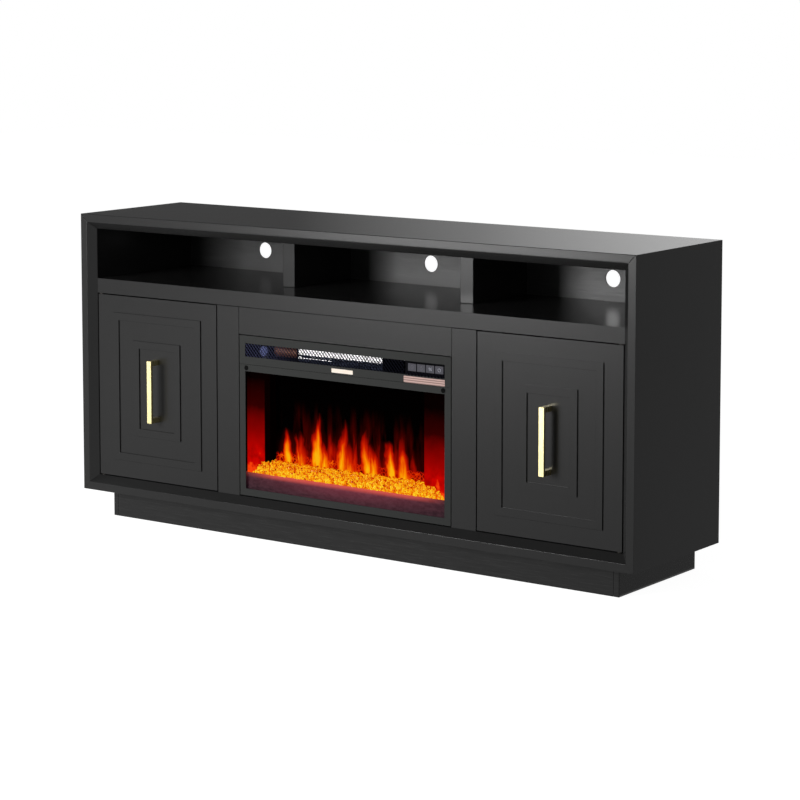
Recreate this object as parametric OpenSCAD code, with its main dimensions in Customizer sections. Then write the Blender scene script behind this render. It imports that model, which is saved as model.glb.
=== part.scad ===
// Media cabinet with a built-in electric fireplace.
// Millimetres. The origin is on the floor under the middle of the case; X is to the right,
// Y to the back and Z up. The doors, stiles, header, shelf edge and fireplace front share one face plane.

/* [Case] */
// Overall width of the cabinet
case_w = 1676; // [1560:1:1800]
// Overall depth of the cabinet without its handles
case_d = 400; // [360:1:460]
// Overall height from the floor to the top
case_h = 800; // [775:1:860]
// Thickness of the flat front lip of the case boards
lip_t = 20; // [16:0.5:26]
// Width and depth of the bevel behind the lip
bevel_w = 19; // [14:0.5:24]
// Thickness of the back panels
back_t = 4; // [3:0.5:6]
// Width of the rebate that holds the back panels
rebate_w = 8; // [5:0.5:12]

/* [Plinth] */
// Height of the plinth
plinth_h = 72; // [50:1:95]
// Thickness of the plinth boards
plinth_t = 15; // [12:0.5:22]
// How far the plinth's front lies behind the lip
plinth_front_in = 45.5; // [20:0.5:80]
// How far the plinth's sides lie inside the case's sides
plinth_side_in = 64; // [20:0.5:120]

/* [Open bays] */
// Thickness of the long shelf under the bays
shelf_t = 38; // [25:0.5:50]
// Width of the middle bay
middle_bay_w = 508; // [420:1:620]
// Thickness of the bay dividers
divider_t = 38; // [25:0.5:50]
// How far the dividers lie behind the face plane
divider_in = 138.5; // [60:0.5:200]
// Radius of the cable holes in the bay backs
cable_hole_r = 21; // [15:0.5:28]
// Height of the cable holes' centres, as a share of the bay's height
cable_hole_share = 0.43; // [0.4:0.01:0.6]

/* [Front panels] */
// Thickness of the doors, stiles and header
face_panel_t = 18; // [16:0.5:22]
// Width of each stile beside the fireplace
stile_w = 70.3; // [50:0.1:100]
// Height of the header above the fireplace
header_h = 69.8; // [50:0.1:90]
// Thickness of the partitions behind the stiles
partition_t = 18; // [15:0.5:25]
// Gap round each door
door_gap = 3; // [2.5:0.1:4]
// Height of the shadow groove under the shelf
groove_h = 1.4; // [0.8:0.1:2.5]
// Depth of the shadow grooves
groove_in = 5; // [2:0.5:8]
// Width of the shadow groove between header and stile
groove_w = 0.8; // [0.5:0.1:2]

/* [Door mouldings] */
// Width of a moulding strip
ring_w = 20; // [12:0.5:24]
// How far a moulding stands proud of the door
ring_proud = 3; // [2:0.5:6]
// Door edge to outer moulding, at the sides
ring_side = 51; // [40:1:60]
// Door edge to outer moulding, at top and bottom
ring_end = 44; // [30:1:60]
// Step from the outer moulding to the inner one
ring_step = 69; // [50:1:75]

/* [Handles] */
// Length of the handle bar
handle_l = 162; // [120:1:180]
// Width of the handle's face
handle_w = 14; // [10:0.5:18]
// Thickness of the handle bar
handle_bar_t = 7; // [5:0.5:10]
// How far the handle stands off the door
handle_reach = 32; // [26:0.5:40]
// Height of each handle leg
handle_leg_h = 13; // [10:0.5:18]
// Diameter of the handle screws
handle_screw_d = 4; // [3:0.5:5]

/* [Door pivots] */
// Diameter of the door pivot pins
pivot_d = 5; // [4:0.5:6]
// Pivot axis to the door's outer edge
pivot_edge = 8; // [7:0.5:9]
// Pivot axis behind the door's face
pivot_depth = 6; // [5:0.5:7]
// Length of a pivot pin inside the door
pivot_in_door = 25; // [15:1:40]
// Depth of a pivot bush in its board
bush_depth = 10; // [8:0.5:14]
// Wall thickness of a pivot bush
bush_wall = 1.5; // [1:0.1:1.8]
// Radial running clearance of pins and shafts
run_clear = 0.05; // [0.02:0.01:0.1]

/* [Cupboards] */
// Thickness of the cupboard shelves
cupboard_shelf_t = 15; // [12:0.5:20]
// Height of the cupboard shelves above the floor board
cupboard_shelf_up = 235; // [120:1:330]
// How far the cupboard shelves lie behind the doors
cupboard_shelf_in = 20; // [15:1:80]
// Diameter of the shelf pins
shelf_pin_d = 5; // [4:0.5:6]
// Length of a shelf pin inside its board
shelf_pin_in = 10; // [8:0.5:12]
// Length of a shelf pin under its shelf
shelf_pin_out = 12; // [8:0.5:20]
// Shelf pin to the shelf's front or back edge
shelf_pin_inset = 45; // [25:1:80]
// Width of a door catch
catch_w = 45; // [30:1:60]
// Height of a door catch
catch_h = 14; // [11:0.5:18]
// Depth of a door catch
catch_d = 14; // [10:0.5:20]
// Thickness of a strike plate
strike_t = 1.5; // [1:0.1:2.5]

/* [Fireplace front] */
// Width of the fireplace front
insert_w = 645; // [600:1:700]
// Height of the fireplace front
insert_h = 407; // [385:1:430]
// Depth of the fireplace from its face to its back
insert_d = 170; // [150:1:220]
// Gap beside and above the fireplace front
insert_gap = 2.2; // [1:0.1:3]
// Gap under the fireplace front
insert_lift = 3; // [2:0.1:4]
// Width of the front's side rims
rim_side = 18; // [12:0.5:25]
// Height of the front's top rim
rim_top = 19.5; // [12:0.5:25]
// Height of the front's bottom rim
rim_bottom = 17.5; // [14:0.5:25]
// Height of the air outlet
vent_h = 33.5; // [28:0.5:36]
// Height of the trim under the air outlet
trim_h = 19.5; // [14:0.5:26]
// Gap between the upper trim and the window frame
joint_line = 0.8; // [0.5:0.1:1.5]
// Height of the window frame's top bar
bar_h = 17; // [14:0.5:24]
// Sheet thickness of the front trim
face_t = 1.5; // [1:0.1:2]
// Depth of the front trim's turned edges
face_return = 10; // [6:0.5:14]
// Diameter of the window frame's screw heads
frame_screw_d = 12; // [6:0.5:14]
// Thickness of the window glass
glass_t = 4; // [3:0.5:5]
// How far the glass laps behind its frame
glass_lap = 7; // [4:0.5:8]

/* [Fireplace body] */
// Sheet thickness of the housing
sheet_t = 1.2; // [0.8:0.1:1.6]
// Width of the housing's turned front edge
front_flange_w = 8; // [6:0.5:10]
// Depth of the ember tray behind the glass
tray_d = 30; // [25:1:60]
// Height of the ledge above the window's lower edge
ledge_h = 40; // [30:1:50]
// Height of the ember bed above the ledge
bed_h = 46; // [25:1:50]
// Length of the bed's left slope
bed_ramp_left = 55; // [20:1:80]
// Length of the bed's right slope
bed_ramp_right = 48; // [20:1:100]
// Visible width of each side reflector
reflector_w = 68.5; // [40:0.5:80]
// Distance from the ember tray's front edge back to the side reflectors
reflector_set = 6; // [5:0.5:15]
// Thickness of the flame screen
screen_t = 3; // [2:0.5:5]
// Side of the mounting brackets
bracket_size = 36; // [25:1:45]

/* [Keys] */
// Width of a key
key_w = 23.4; // [16:0.1:23.4]
// Height of a key
key_h = 18; // [14:0.5:20]
// Spacing of the keys
key_pitch = 26.4; // [26.2:0.1:28]
// Height of the keys' middle above the air outlet's middle
key_up = 2; // [0:0.5:4]
// Travel of a key
key_travel = 1; // [0.5:0.1:1.5]
// Gap round a key
key_clear = 0.3; // [0.2:0.05:0.4]
// Thickness of the key panel
key_panel_t = 2; // [1.5:0.1:3]

/* [Air heater] */
// Width of the heater element
heater_w = 260; // [200:1:300]
// Middle of the heater from the middle of the front
heater_x = -22; // [-26:1:10]
// Thickness of the heater element
heater_t = 10; // [6:0.5:14]
// How far the heater lies behind the face plane
heater_in = 22; // [21:0.5:26]
// How far the blower's axis lies behind the face plane
blower_in = 82; // [70:1:100]
// Radius of the blower wheel
wheel_r = 17; // [12:0.5:20]
// Number of blades on the blower wheel
blade_count = 24; // [16:1:30]
// Gap between the blower wheel and its housing
wheel_gap = 7; // [4:0.5:8]
// Diameter of the blower shaft
blower_shaft_d = 5; // [4:0.5:6]
// Length of the blower motor
motor_l = 70; // [40:1:80]
// Radius of the blower motor
motor_r = 20; // [14:0.5:22]
// Length of the blower motor's winding
winding_l = 72; // [40:1:74]
// Radius of the winding
winding_r = 15; // [10:0.5:18]
// Distance from the motor's axis forward to the winding's axis
winding_out = 38; // [30:0.5:44]
// Radius of the thermal cut-out
cutout_r = 12.5; // [7:0.5:13]
// Middle of the thermal cut-out from the window's left edge
cutout_side = 52; // [30:1:56]

/* [Flame maker] */
// Diameter of the flame spindle's rod
spindle_d = 4; // [3:0.5:6]
// Height of the flame spindle above the housing's floor
spindle_up = 60; // [45:1:90]
// Reach of the spindle's flags from its axis
flag_reach = 15; // [8:0.5:18]
// Number of flags on the spindle
flag_count = 16; // [8:1:24]
// Radius of the spindle motor
spindle_motor_r = 18; // [14:0.5:24]
// Length of the spindle motor
spindle_motor_l = 20; // [14:1:28]

/* [Power inlet] */
// Radius of the cord hole in the lower back panel
cord_hole_r = 30; // [20:0.5:40]
// Cord inlet to the left of the middle
cord_x = 220; // [120:1:260]
// Cord inlet above the case's floor board
cord_up = 60; // [55:1:90]
// Radius of the cord gland's neck
gland_r = 8; // [6:0.5:10]

/* [Hidden] */
$fn = 48;

eps = 0.01;           // overrun of cuts past a face
seat_gap = 0.3;       // gap of a loose piece above its seat
slip = 0.5;           // gap round loose boards
panel_seam = 1;       // gap between two back panels
press_clear = 0.02;   // radial gap of pressed and screwed pieces

// Case
board_t = lip_t + bevel_w;
half_w = case_w / 2;
front_y = -case_d / 2;
back_y = case_d / 2;
face_y = front_y + bevel_w;
panel_y = back_y - back_t;
inner_x = half_w - board_t;
floor_z = plinth_h + board_t;
ceiling_z = case_h - board_t;
insert_bottom = floor_z + insert_lift;
insert_top = insert_bottom + insert_h;
header_bottom = insert_top + insert_gap;
shelf_bottom = header_bottom + header_h;
shelf_top = shelf_bottom + shelf_t;
seam_z = (shelf_top + shelf_bottom) / 2;
divider_x = middle_bay_w / 2;
divider_mid = divider_x + divider_t / 2;
back_edge_x = inner_x + rebate_w - slip;
cable_hole_x = (divider_mid + inner_x + rebate_w) / 2;
cable_hole_z = shelf_top + (ceiling_z - shelf_top) * cable_hole_share;

// Front
face_back_y = face_y + face_panel_t;
stile_in = insert_w / 2 + insert_gap;
stile_out = stile_in + stile_w;
door_in = stile_out + door_gap;
door_out = inner_x - door_gap;
door_w = door_out - door_in;
door_x = (door_in + door_out) / 2;
door_bottom = floor_z + door_gap;
door_top = shelf_bottom - door_gap;
door_h = door_top - door_bottom;
door_z = (door_top + door_bottom) / 2;
pivot_x = door_out - pivot_edge;
pivot_y = face_y + pivot_depth;
pivot_r = pivot_d / 2;
bush_r = pivot_r + run_clear + bush_wall;
collar_r = bush_r + 1.5;
pivot_tip = bush_depth - 2;
leg_z = handle_l / 2 - handle_leg_h / 2;
screw_r = handle_screw_d / 2;
screw_in_leg = 12;
screw_head_r = handle_screw_d;
screw_head_t = 2.2;
door_bore_r = screw_r + 0.3;
strike_in = 12;
strike_w = catch_w - 6;
strike_h = 12;
strike_drop = 2;

// Cupboards
shelf_pin_r = shelf_pin_d / 2;
cupboard_shelf_z = floor_z + cupboard_shelf_up;
cupboard_shelf_y = face_back_y + cupboard_shelf_in;
shelf_pin_z = cupboard_shelf_z - shelf_pin_r;
shelf_pin_ys = [cupboard_shelf_y + shelf_pin_inset, panel_y - shelf_pin_inset];

// Fireplace front
insert_x = insert_w / 2;
window_x = insert_x - rim_side;
window_bottom = insert_bottom + rim_bottom;
vent_top = insert_top - rim_top;
vent_bottom = vent_top - vent_h;
joint_z = vent_bottom - trim_h;
frame_top = joint_z - joint_line;
window_top = frame_top - bar_h;
trim_back = face_y + face_t;
frame_screw_x = window_x - frame_screw_d / 3;
frame_screw_z = (frame_top + window_top) / 2;
frame_shank_r = frame_screw_d / 4;
glass_x = window_x + glass_lap;
glass_top = frame_screw_z - frame_shank_r - 1.5;
glass_back = trim_back + glass_t;

// Fireplace body
house_gap = 0.3;
house_x = insert_x - face_t - house_gap;
house_in_x = house_x - sheet_t;
house_bottom = insert_bottom + face_t + house_gap;
house_floor = house_bottom + sheet_t;
house_top = insert_top - face_t - house_gap;
house_ceiling = house_top - sheet_t;
house_front = glass_back + 0.2;
lug_back = house_front + 2;
lug_w = 16;
house_back = face_y + insert_d;
house_back_in = house_back - sheet_t;
foot_r = 10;
deck_z = joint_z + 1;
deck_top = deck_z + sheet_t;
tray_front = house_front + sheet_t + 0.5;
tray_back = tray_front + tray_d;
ledge_top = window_bottom + ledge_h;
screen_y = tray_back + 0.2;
screen_back = screen_y + screen_t;
reflector_out = glass_x - 2;
reflector_in = window_x - reflector_w;
reflector_t = 1.2;
reflector_face = tray_front + reflector_set;
bed_clear = 0.5;

// Keys, counted from the left
key_end = window_x - 3;
key_count = 4;
key_panel_in = key_end - key_count * key_pitch - 7;
key_z = (vent_top + vent_bottom) / 2 + key_up;
key_panel_y = trim_back + key_panel_t;
key_face_y = face_y + 0.7;
key_flange_w = 0.9;
key_flange_t = 1.5;
switch_h = 3.5;
switch_side = 6;
board_gap = 12;
control_y = key_panel_y + board_gap;
control_t = 1.6;
key_stem_end = control_y - switch_h - key_travel - seat_gap;
panel_lap = 6;

// Air heater
duct_r = wheel_r + wheel_gap;
duct_t = 1.5;
blower_y = face_y + blower_in;
blower_z = (deck_top + house_ceiling) / 2;
heater_y = face_y + heater_in;
duct_lip = 4;
duct_front = heater_y - duct_lip;
end_plate_x = heater_w / 2 + 1.5;
shaft_r = blower_shaft_d / 2;
boss_l = 8;
disc_t = 2;
wheel_l = heater_w - 8;
cutout_in = 10;
cutout_x = -window_x + cutout_side;
cutout_y = face_y + cutout_in;

// Flame maker
spindle_r = spindle_d / 2;
flag_gap = 14;
spindle_y = screen_back + flag_reach + flag_gap;
spindle_z = house_floor + spindle_up;
boss_r = 6;
boss_in = 20;
shaft_in = 10;
spindle_left = house_in_x - boss_in + shaft_in;
spindle_right = house_in_x - spindle_motor_l + shaft_in;
led_board_t = 1.6;
led_board_w = 14;
led_size = 5;
led_h = 1.6;

// A block given by its lowest and highest corners
module block(low, high) {
    translate(low) cube(high - low);
}

// A rod along Y from y0 to y1
module rod_y(x, z, y0, y1, r) {
    translate([x, y0, z]) rotate([-90, 0, 0]) cylinder(h = y1 - y0, r = r);
}

// A rod along X from x0 to x1
module rod_x(y, z, x0, x1, r) {
    translate([x0, y, z]) rotate([0, 90, 0]) cylinder(h = x1 - x0, r = r);
}

// An upright rod from z0 to z1
module rod_z(x, y, z0, z1, r) {
    translate([x, y, z0]) cylinder(h = z1 - z0, r = r);
}

module left_hand() {
    mirror([1, 0, 0]) children();
}

// A flat XZ drawing made into a sheet from y0 to y1
module sheet_y(y0, y1) {
    translate([0, y1, 0]) rotate([90, 0, 0]) linear_extrude(y1 - y0) children();
}

// A YZ drawing drawn out along X from x0 to x1
module bar_x(x0, x1) {
    translate([x0, 0, 0]) rotate([90, 0, 90]) linear_extrude(x1 - x0) children();
}

// ---- Case ----

// Section of a case board: depth along x, thickness along y, with the bevel and the back rebate
module case_section() {
    polygon([
        [0, 0], [case_d, 0], [case_d, board_t - rebate_w], [case_d - back_t, board_t - rebate_w],
        [case_d - back_t, board_t], [bevel_w, board_t], [0, lip_t]
    ]);
}

// A case board along X, its outer face down, with mitred ends
module case_board(length) {
    intersection() {
        bar_x(-length / 2, length / 2) case_section();
        sheet_y(-1, case_d + 1) polygon([
            [-length / 2, 0], [length / 2, 0],
            [length / 2 - board_t, board_t], [-length / 2 + board_t, board_t]
        ]);
    }
}

module top_panel() {
    color([0.13, 0.13, 0.135]) translate([0, front_y, case_h]) mirror([0, 0, 1]) case_board(case_w);
}

module bush_hole(z0, z1) {
    rod_z(pivot_x, pivot_y, z0, z1, bush_r + press_clear);
}

module bottom_panel() {
    color([0.11, 0.11, 0.115]) difference() {
        translate([0, front_y, plinth_h]) case_board(case_w);
        bush_hole(floor_z - bush_depth, floor_z + 1);
        left_hand() bush_hole(floor_z - bush_depth, floor_z + 1);
    }
}

module side_panel() {
    color([0.12, 0.12, 0.125]) difference() {
        translate([half_w, front_y, (plinth_h + case_h) / 2]) rotate([0, -90, 0])
            case_board(case_h - plinth_h);
        for (y = shelf_pin_ys)
            rod_x(y, shelf_pin_z, inner_x - 1, inner_x + shelf_pin_in + slip, shelf_pin_r + press_clear);
    }
}

module left_side_panel() {
    left_hand() side_panel();
}

module right_side_panel() {
    side_panel();
}

module shelf_panel() {
    color([0.1, 0.1, 0.105]) difference() {
        block([-inner_x, face_y, shelf_bottom], [inner_x, panel_y, shelf_top]);
        bush_hole(shelf_bottom - 1, shelf_bottom + bush_depth);
        left_hand() bush_hole(shelf_bottom - 1, shelf_bottom + bush_depth);
    }
}

module bay_divider() {
    color([0.1, 0.1, 0.105])
        block([divider_x, face_y + divider_in, shelf_top], [divider_x + divider_t, panel_y, ceiling_z]);
}

module left_bay_divider() {
    left_hand() bay_divider();
}

module right_bay_divider() {
    bay_divider();
}

// The back of one bay between two edges, with its cable hole
module bay_back(x0, x1, hole_x) {
    color([0.16, 0.16, 0.165]) difference() {
        block(
            [x0, panel_y, seam_z + panel_seam / 2],
            [x1, back_y, ceiling_z + rebate_w - slip]
        );
        rod_y(hole_x, cable_hole_z, panel_y - 1, back_y + 1, cable_hole_r);
    }
}

module left_bay_back() {
    bay_back(-back_edge_x, -divider_mid - panel_seam / 2, -cable_hole_x);
}

module middle_bay_back() {
    bay_back(-divider_mid + panel_seam / 2, divider_mid - panel_seam / 2, 0);
}

module right_bay_back() {
    bay_back(divider_mid + panel_seam / 2, back_edge_x, cable_hole_x);
}

module lower_back_panel() {
    slot_w = 180;
    slot_h = 8;
    slot_count = 6;
    color([0.16, 0.16, 0.165]) difference() {
        block(
            [-back_edge_x, panel_y, floor_z - rebate_w + slip],
            [back_edge_x, back_y, seam_z - panel_seam / 2]
        );
        rod_y(-cord_x, floor_z + cord_up, panel_y - 1, back_y + 1, cord_hole_r);
        for (i = [0 : slot_count - 1])
            translate([-slot_w / 2, panel_y - 1, blower_z - 3 * slot_h * i - slot_h])
                cube([slot_w, back_t + 2, slot_h]);
    }
}

// ---- Inner boards and front panels ----

module partition_board() {
    color([0.1, 0.1, 0.105]) difference() {
        block([stile_out - partition_t, face_back_y, floor_z], [stile_out, panel_y, shelf_bottom]);
        for (y = shelf_pin_ys)
            rod_x(
                y, shelf_pin_z, stile_out - shelf_pin_in - slip, stile_out + 1,
                shelf_pin_r + press_clear
            );
    }
}

module left_partition() {
    left_hand() partition_board();
}

module right_partition() {
    partition_board();
}

// The groove along the shelf's underside that sets off the boards below it
module shelf_groove(x0, x1) {
    block([x0 - 1, face_y - 1, shelf_bottom - groove_h], [x1 + 1, face_y + groove_in, shelf_bottom + 1]);
}

module stile() {
    color([0.15, 0.15, 0.155]) difference() {
        block([stile_in, face_y, floor_z], [stile_out, face_back_y, shelf_bottom]);
        shelf_groove(stile_in, stile_out);
    }
}

module left_stile() {
    left_hand() stile();
}

module right_stile() {
    stile();
}

// The board above the fireplace, with a groove along its top and its two ends
module header_panel() {
    color([0.15, 0.15, 0.155]) difference() {
        block([-stile_in, face_y, header_bottom], [stile_in, face_back_y, shelf_bottom]);
        shelf_groove(-stile_in, stile_in);
        for (s = [-1, 1])
            block(
                [s * stile_in - groove_w, face_y - 1, header_bottom - 1],
                [s * stile_in + groove_w, face_y + groove_in, shelf_bottom + 1]
            );
    }
}

module cupboard_shelf() {
    color([0.1, 0.1, 0.105]) block(
        [stile_out + slip, cupboard_shelf_y, cupboard_shelf_z],
        [inner_x - slip, panel_y - slip, cupboard_shelf_z + cupboard_shelf_t]
    );
}

module left_cupboard_shelf() {
    left_hand() cupboard_shelf();
}

module right_cupboard_shelf() {
    cupboard_shelf();
}

module cupboard_pins() {
    for (y = shelf_pin_ys) {
        rod_x(y, shelf_pin_z, stile_out - shelf_pin_in, stile_out + shelf_pin_out, shelf_pin_r);
        rod_x(y, shelf_pin_z, inner_x - shelf_pin_out, inner_x + shelf_pin_in, shelf_pin_r);
    }
}

module shelf_pins() {
    color([0.7, 0.7, 0.72]) cupboard_pins();
    color([0.7, 0.7, 0.72]) left_hand() cupboard_pins();
}

// ---- Plinth ----

plinth_x = half_w - plinth_side_in;
plinth_y = front_y + plinth_front_in;

module plinth_front() {
    color([0.09, 0.09, 0.095])
        block([-plinth_x + plinth_t, plinth_y, 0], [plinth_x - plinth_t, plinth_y + plinth_t, plinth_h]);
}

module plinth_side() {
    color([0.1, 0.1, 0.105]) block([plinth_x - plinth_t, plinth_y, 0], [plinth_x, back_y, plinth_h]);
}

module plinth_left() {
    left_hand() plinth_side();
}

module plinth_right() {
    plinth_side();
}

// The back board and the brace under the middle of the case
module plinth_cross_boards() {
    color([0.09, 0.09, 0.095]) {
        block([-plinth_x + plinth_t, back_y - plinth_t, 0], [plinth_x - plinth_t, back_y, plinth_h]);
        block([-plinth_t / 2, plinth_y + plinth_t, 0], [plinth_t / 2, back_y - plinth_t, plinth_h]);
    }
}

// ---- Door hardware that stays on the case ----

module bush(z0, z1, collar_z0, collar_z1) {
    difference() {
        union() {
            rod_z(pivot_x, pivot_y, z0, z1, bush_r);
            rod_z(pivot_x, pivot_y, collar_z0, collar_z1, collar_r);
        }
        rod_z(
            pivot_x, pivot_y, min(z0, collar_z0) - 1, max(z1, collar_z1) + 1, pivot_r + run_clear
        );
    }
}

module side_bushes() {
    bush(floor_z - bush_depth, floor_z, floor_z, door_bottom - seat_gap);
    bush(shelf_bottom, shelf_bottom + bush_depth, door_top + seat_gap, shelf_bottom);
}

module pivot_bushes() {
    color([0.75, 0.62, 0.35]) side_bushes();
    color([0.75, 0.62, 0.35]) left_hand() side_bushes();
}

module door_catch() {
    x0 = door_in + strike_in;
    y0 = face_back_y + strike_t + seat_gap;
    pole_t = 2;
    pole_in = 4;
    difference() {
        block([x0, y0, shelf_bottom - catch_h], [x0 + catch_w, y0 + catch_d, shelf_bottom]);
        block(
            [x0 + pole_in, y0 - 1, shelf_bottom - catch_h + pole_t],
            [x0 + catch_w - pole_in, y0 + pole_t, shelf_bottom - catch_h + catch_h / 2]
        );
    }
}

module door_catches() {
    color([0.2, 0.2, 0.2]) door_catch();
    color([0.2, 0.2, 0.2]) left_hand() door_catch();
}

// ---- Doors ----

module door_panel() {
    color([0.15, 0.15, 0.155]) difference() {
        block([door_in, face_y, door_bottom], [door_out, face_back_y, door_top]);
        rod_z(pivot_x, pivot_y, door_bottom - 1, door_bottom + pivot_in_door, pivot_r + press_clear);
        rod_z(pivot_x, pivot_y, door_top - pivot_in_door, door_top + 1, pivot_r + press_clear);
        for (s = [-1, 1])
            rod_y(door_x, door_z + s * leg_z, face_y - 1, face_back_y + 1, door_bore_r);
    }
}

// Four mitred strips laid as a frame of half size a by c round the middle of the door
module moulding(a, c) {
    for (s = [-1, 1]) {
        sheet_y(face_y - ring_proud, face_y) translate([door_x, door_z]) scale([1, s]) polygon([
            [-a, -c], [a, -c], [a - ring_w, ring_w - c], [ring_w - a, ring_w - c]
        ]);
        sheet_y(face_y - ring_proud, face_y) translate([door_x, door_z]) scale([s, 1]) polygon([
            [a, -c], [a, c], [a - ring_w, c - ring_w], [a - ring_w, ring_w - c]
        ]);
    }
}

module door_mouldings() {
    color([0.15, 0.15, 0.155]) {
        moulding(door_w / 2 - ring_side, door_h / 2 - ring_end);
        moulding(door_w / 2 - ring_side - ring_step, door_h / 2 - ring_end - ring_step);
    }
}

module handle() {
    tip_y = face_y - handle_reach;
    color([0.85, 0.75, 0.45]) difference() {
        block(
            [door_x - handle_w / 2, tip_y, door_z - handle_l / 2],
            [door_x + handle_w / 2, face_y, door_z + handle_l / 2]
        );
        block(
            [door_x - handle_w, tip_y + handle_bar_t, door_z - handle_l / 2 + handle_leg_h],
            [door_x + handle_w, face_y + 1, door_z + handle_l / 2 - handle_leg_h]
        );
        for (s = [-1, 1])
            rod_y(
                door_x, door_z + s * leg_z, face_y - screw_in_leg - 1, face_y + 1,
                screw_r + press_clear
            );
    }
}

// Pivot pins, handle screws and strike plate
module door_fittings() {
    color([0.72, 0.72, 0.74]) {
        rod_z(
            pivot_x, pivot_y, floor_z - pivot_tip, door_bottom + pivot_in_door, pivot_r
        );
        rod_z(
            pivot_x, pivot_y, door_top - pivot_in_door, shelf_bottom + pivot_tip, pivot_r
        );
        for (s = [-1, 1]) {
            rod_y(door_x, door_z + s * leg_z, face_y - screw_in_leg, face_back_y + eps, screw_r);
            rod_y(door_x, door_z + s * leg_z, face_back_y, face_back_y + screw_head_t, screw_head_r);
        }
        block(
            [door_in + strike_in, face_back_y, door_top - strike_drop - strike_h],
            [door_in + strike_in + strike_w, face_back_y + strike_t, door_top - strike_drop]
        );
    }
}

module left_door_panel() {
    left_hand() door_panel();
}

module left_door_mouldings() {
    left_hand() door_mouldings();
}

module left_handle() {
    left_hand() handle();
}

module left_door_fittings() {
    left_hand() door_fittings();
}

module right_door_panel() {
    door_panel();
}

module right_door_mouldings() {
    door_mouldings();
}

module right_handle() {
    handle();
}

module right_door_fittings() {
    door_fittings();
}

// ---- Fireplace front ----

// A rectangle given by its lowest and highest corners
module rect(low, high) {
    translate(low) square(high - low);
}

// Sheet trim with its outer edges turned back
module front_tray(z0, z1, flange_top, flange_bottom) {
    sheet_y(face_y, trim_back) rect([-insert_x, z0], [insert_x, z1]);
    for (s = [-1, 1])
        block(
            [s * (insert_x - face_t / 2) - face_t / 2, face_y, z0],
            [s * (insert_x - face_t / 2) + face_t / 2, face_y + face_return, z1]
        );
    if (flange_top)
        block([-insert_x, face_y, z1 - face_t], [insert_x, face_y + face_return, z1]);
    if (flange_bottom)
        block([-insert_x, face_y, z0], [insert_x, face_y + face_return, z0 + face_t]);
}

module vent_trim() {
    color([0.16, 0.16, 0.16]) difference() {
        front_tray(joint_z, insert_top, true, false);
        block([-window_x, face_y - 1, vent_bottom], [window_x, trim_back + 1, vent_top]);
    }
}

module window_frame() {
    color([0.16, 0.16, 0.16]) difference() {
        front_tray(insert_bottom, frame_top, false, true);
        block([-window_x, face_y - 1, window_bottom], [window_x, trim_back + 1, window_top]);
        for (s = [-1, 1])
            rod_y(s * frame_screw_x, frame_screw_z, face_y - 1, trim_back + 1, frame_shank_r + 0.1);
    }
}

// Two screws that hold the window frame to the housing's lugs
module frame_screws() {
    head_t = 0.9;
    for (s = [-1, 1])
        color([0.03, 0.03, 0.03]) {
            rod_y(s * frame_screw_x, frame_screw_z, face_y - head_t, face_y, frame_screw_d / 2);
            rod_y(s * frame_screw_x, frame_screw_z, face_y - eps, lug_back, frame_shank_r);
        }
}

module window_glass() {
    color([0.1, 0.1, 0.12, 0.3])
        block(
            [-glass_x, trim_back, window_bottom - glass_lap],
            [glass_x, glass_back, glass_top]
        );
}

// The air outlet's mesh: a thin sheet with rows of small windows
module vent_mesh() {
    x0 = -window_x - panel_lap;
    x1 = key_panel_in;
    wire = 2;
    pitch = 11;
    rows = 4;
    row_h = vent_h / rows;
    columns = floor((x1 + window_x) / pitch);
    color([0.12, 0.12, 0.12]) sheet_y(trim_back, trim_back + face_t / 2) difference() {
        rect([x0, vent_bottom - panel_lap], [x1 - slip, vent_top + panel_lap]);
        for (i = [0 : columns - 1], k = [0 : rows - 1])
            translate([-window_x + i * pitch + wire / 2, vent_bottom + k * row_h + wire / 2])
                square([pitch - wire, row_h - wire]);
    }
}

// Middle of key i, counted from the left
function key_x(i) = key_end - (key_count - 1 - i + 0.5) * key_pitch;

module key_panel() {
    post_r = 2.5;
    post_z = 3;
    color([0.08, 0.08, 0.09]) difference() {
        union() {
            block(
                [key_panel_in, trim_back, vent_bottom - panel_lap],
                [window_x + panel_lap, key_panel_y, vent_top + panel_lap]
            );
            for (x = [key_panel_in + post_r, window_x - post_r])
                for (z = [vent_bottom - post_z, vent_top + post_z])
                    rod_y(x, z, key_panel_y - eps, control_y, post_r);
        }
        for (i = [0 : key_count - 1])
            block(
                [key_x(i) - key_w / 2 - key_clear, trim_back - 1, key_z - key_h / 2 - key_clear],
                [key_x(i) + key_w / 2 + key_clear, key_panel_y + 1, key_z + key_h / 2 + key_clear]
            );
    }
}

module key(i) {
    wing = key_clear + key_flange_w;
    flange_y = key_panel_y + seat_gap;
    color([0.22, 0.24, 0.28]) {
        block(
            [key_x(i) - key_w / 2, key_face_y, key_z - key_h / 2],
            [key_x(i) + key_w / 2, flange_y + eps, key_z + key_h / 2]
        );
        block(
            [key_x(i) - key_w / 2 - wing, flange_y, key_z - key_h / 2 - wing],
            [key_x(i) + key_w / 2 + wing, flange_y + key_flange_t, key_z + key_h / 2 + wing]
        );
        rod_y(key_x(i), key_z, flange_y + key_flange_t - eps, key_stem_end, 2);
    }
}

module power_key() {
    key(3);
}

module heat_key() {
    key(2);
}

module flame_key() {
    key(1);
}

module timer_key() {
    key(0);
}

// Circuit board on the key panel's posts, with a switch behind each key
module control_board() {
    color([0.05, 0.25, 0.12]) {
        block(
            [key_panel_in, control_y, vent_bottom - panel_lap],
            [window_x, control_y + control_t, vent_top + panel_lap]
        );
        for (i = [0 : key_count - 1])
            block(
                [key_x(i) - switch_side / 2, control_y - switch_h, key_z - switch_side / 2],
                [key_x(i) + switch_side / 2, control_y + eps, key_z + switch_side / 2]
            );
    }
}

// ---- Fireplace body ----

module house_rect(inset) {
    rect([-house_x + inset, house_bottom + inset], [house_x - inset, house_top - inset]);
}

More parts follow.
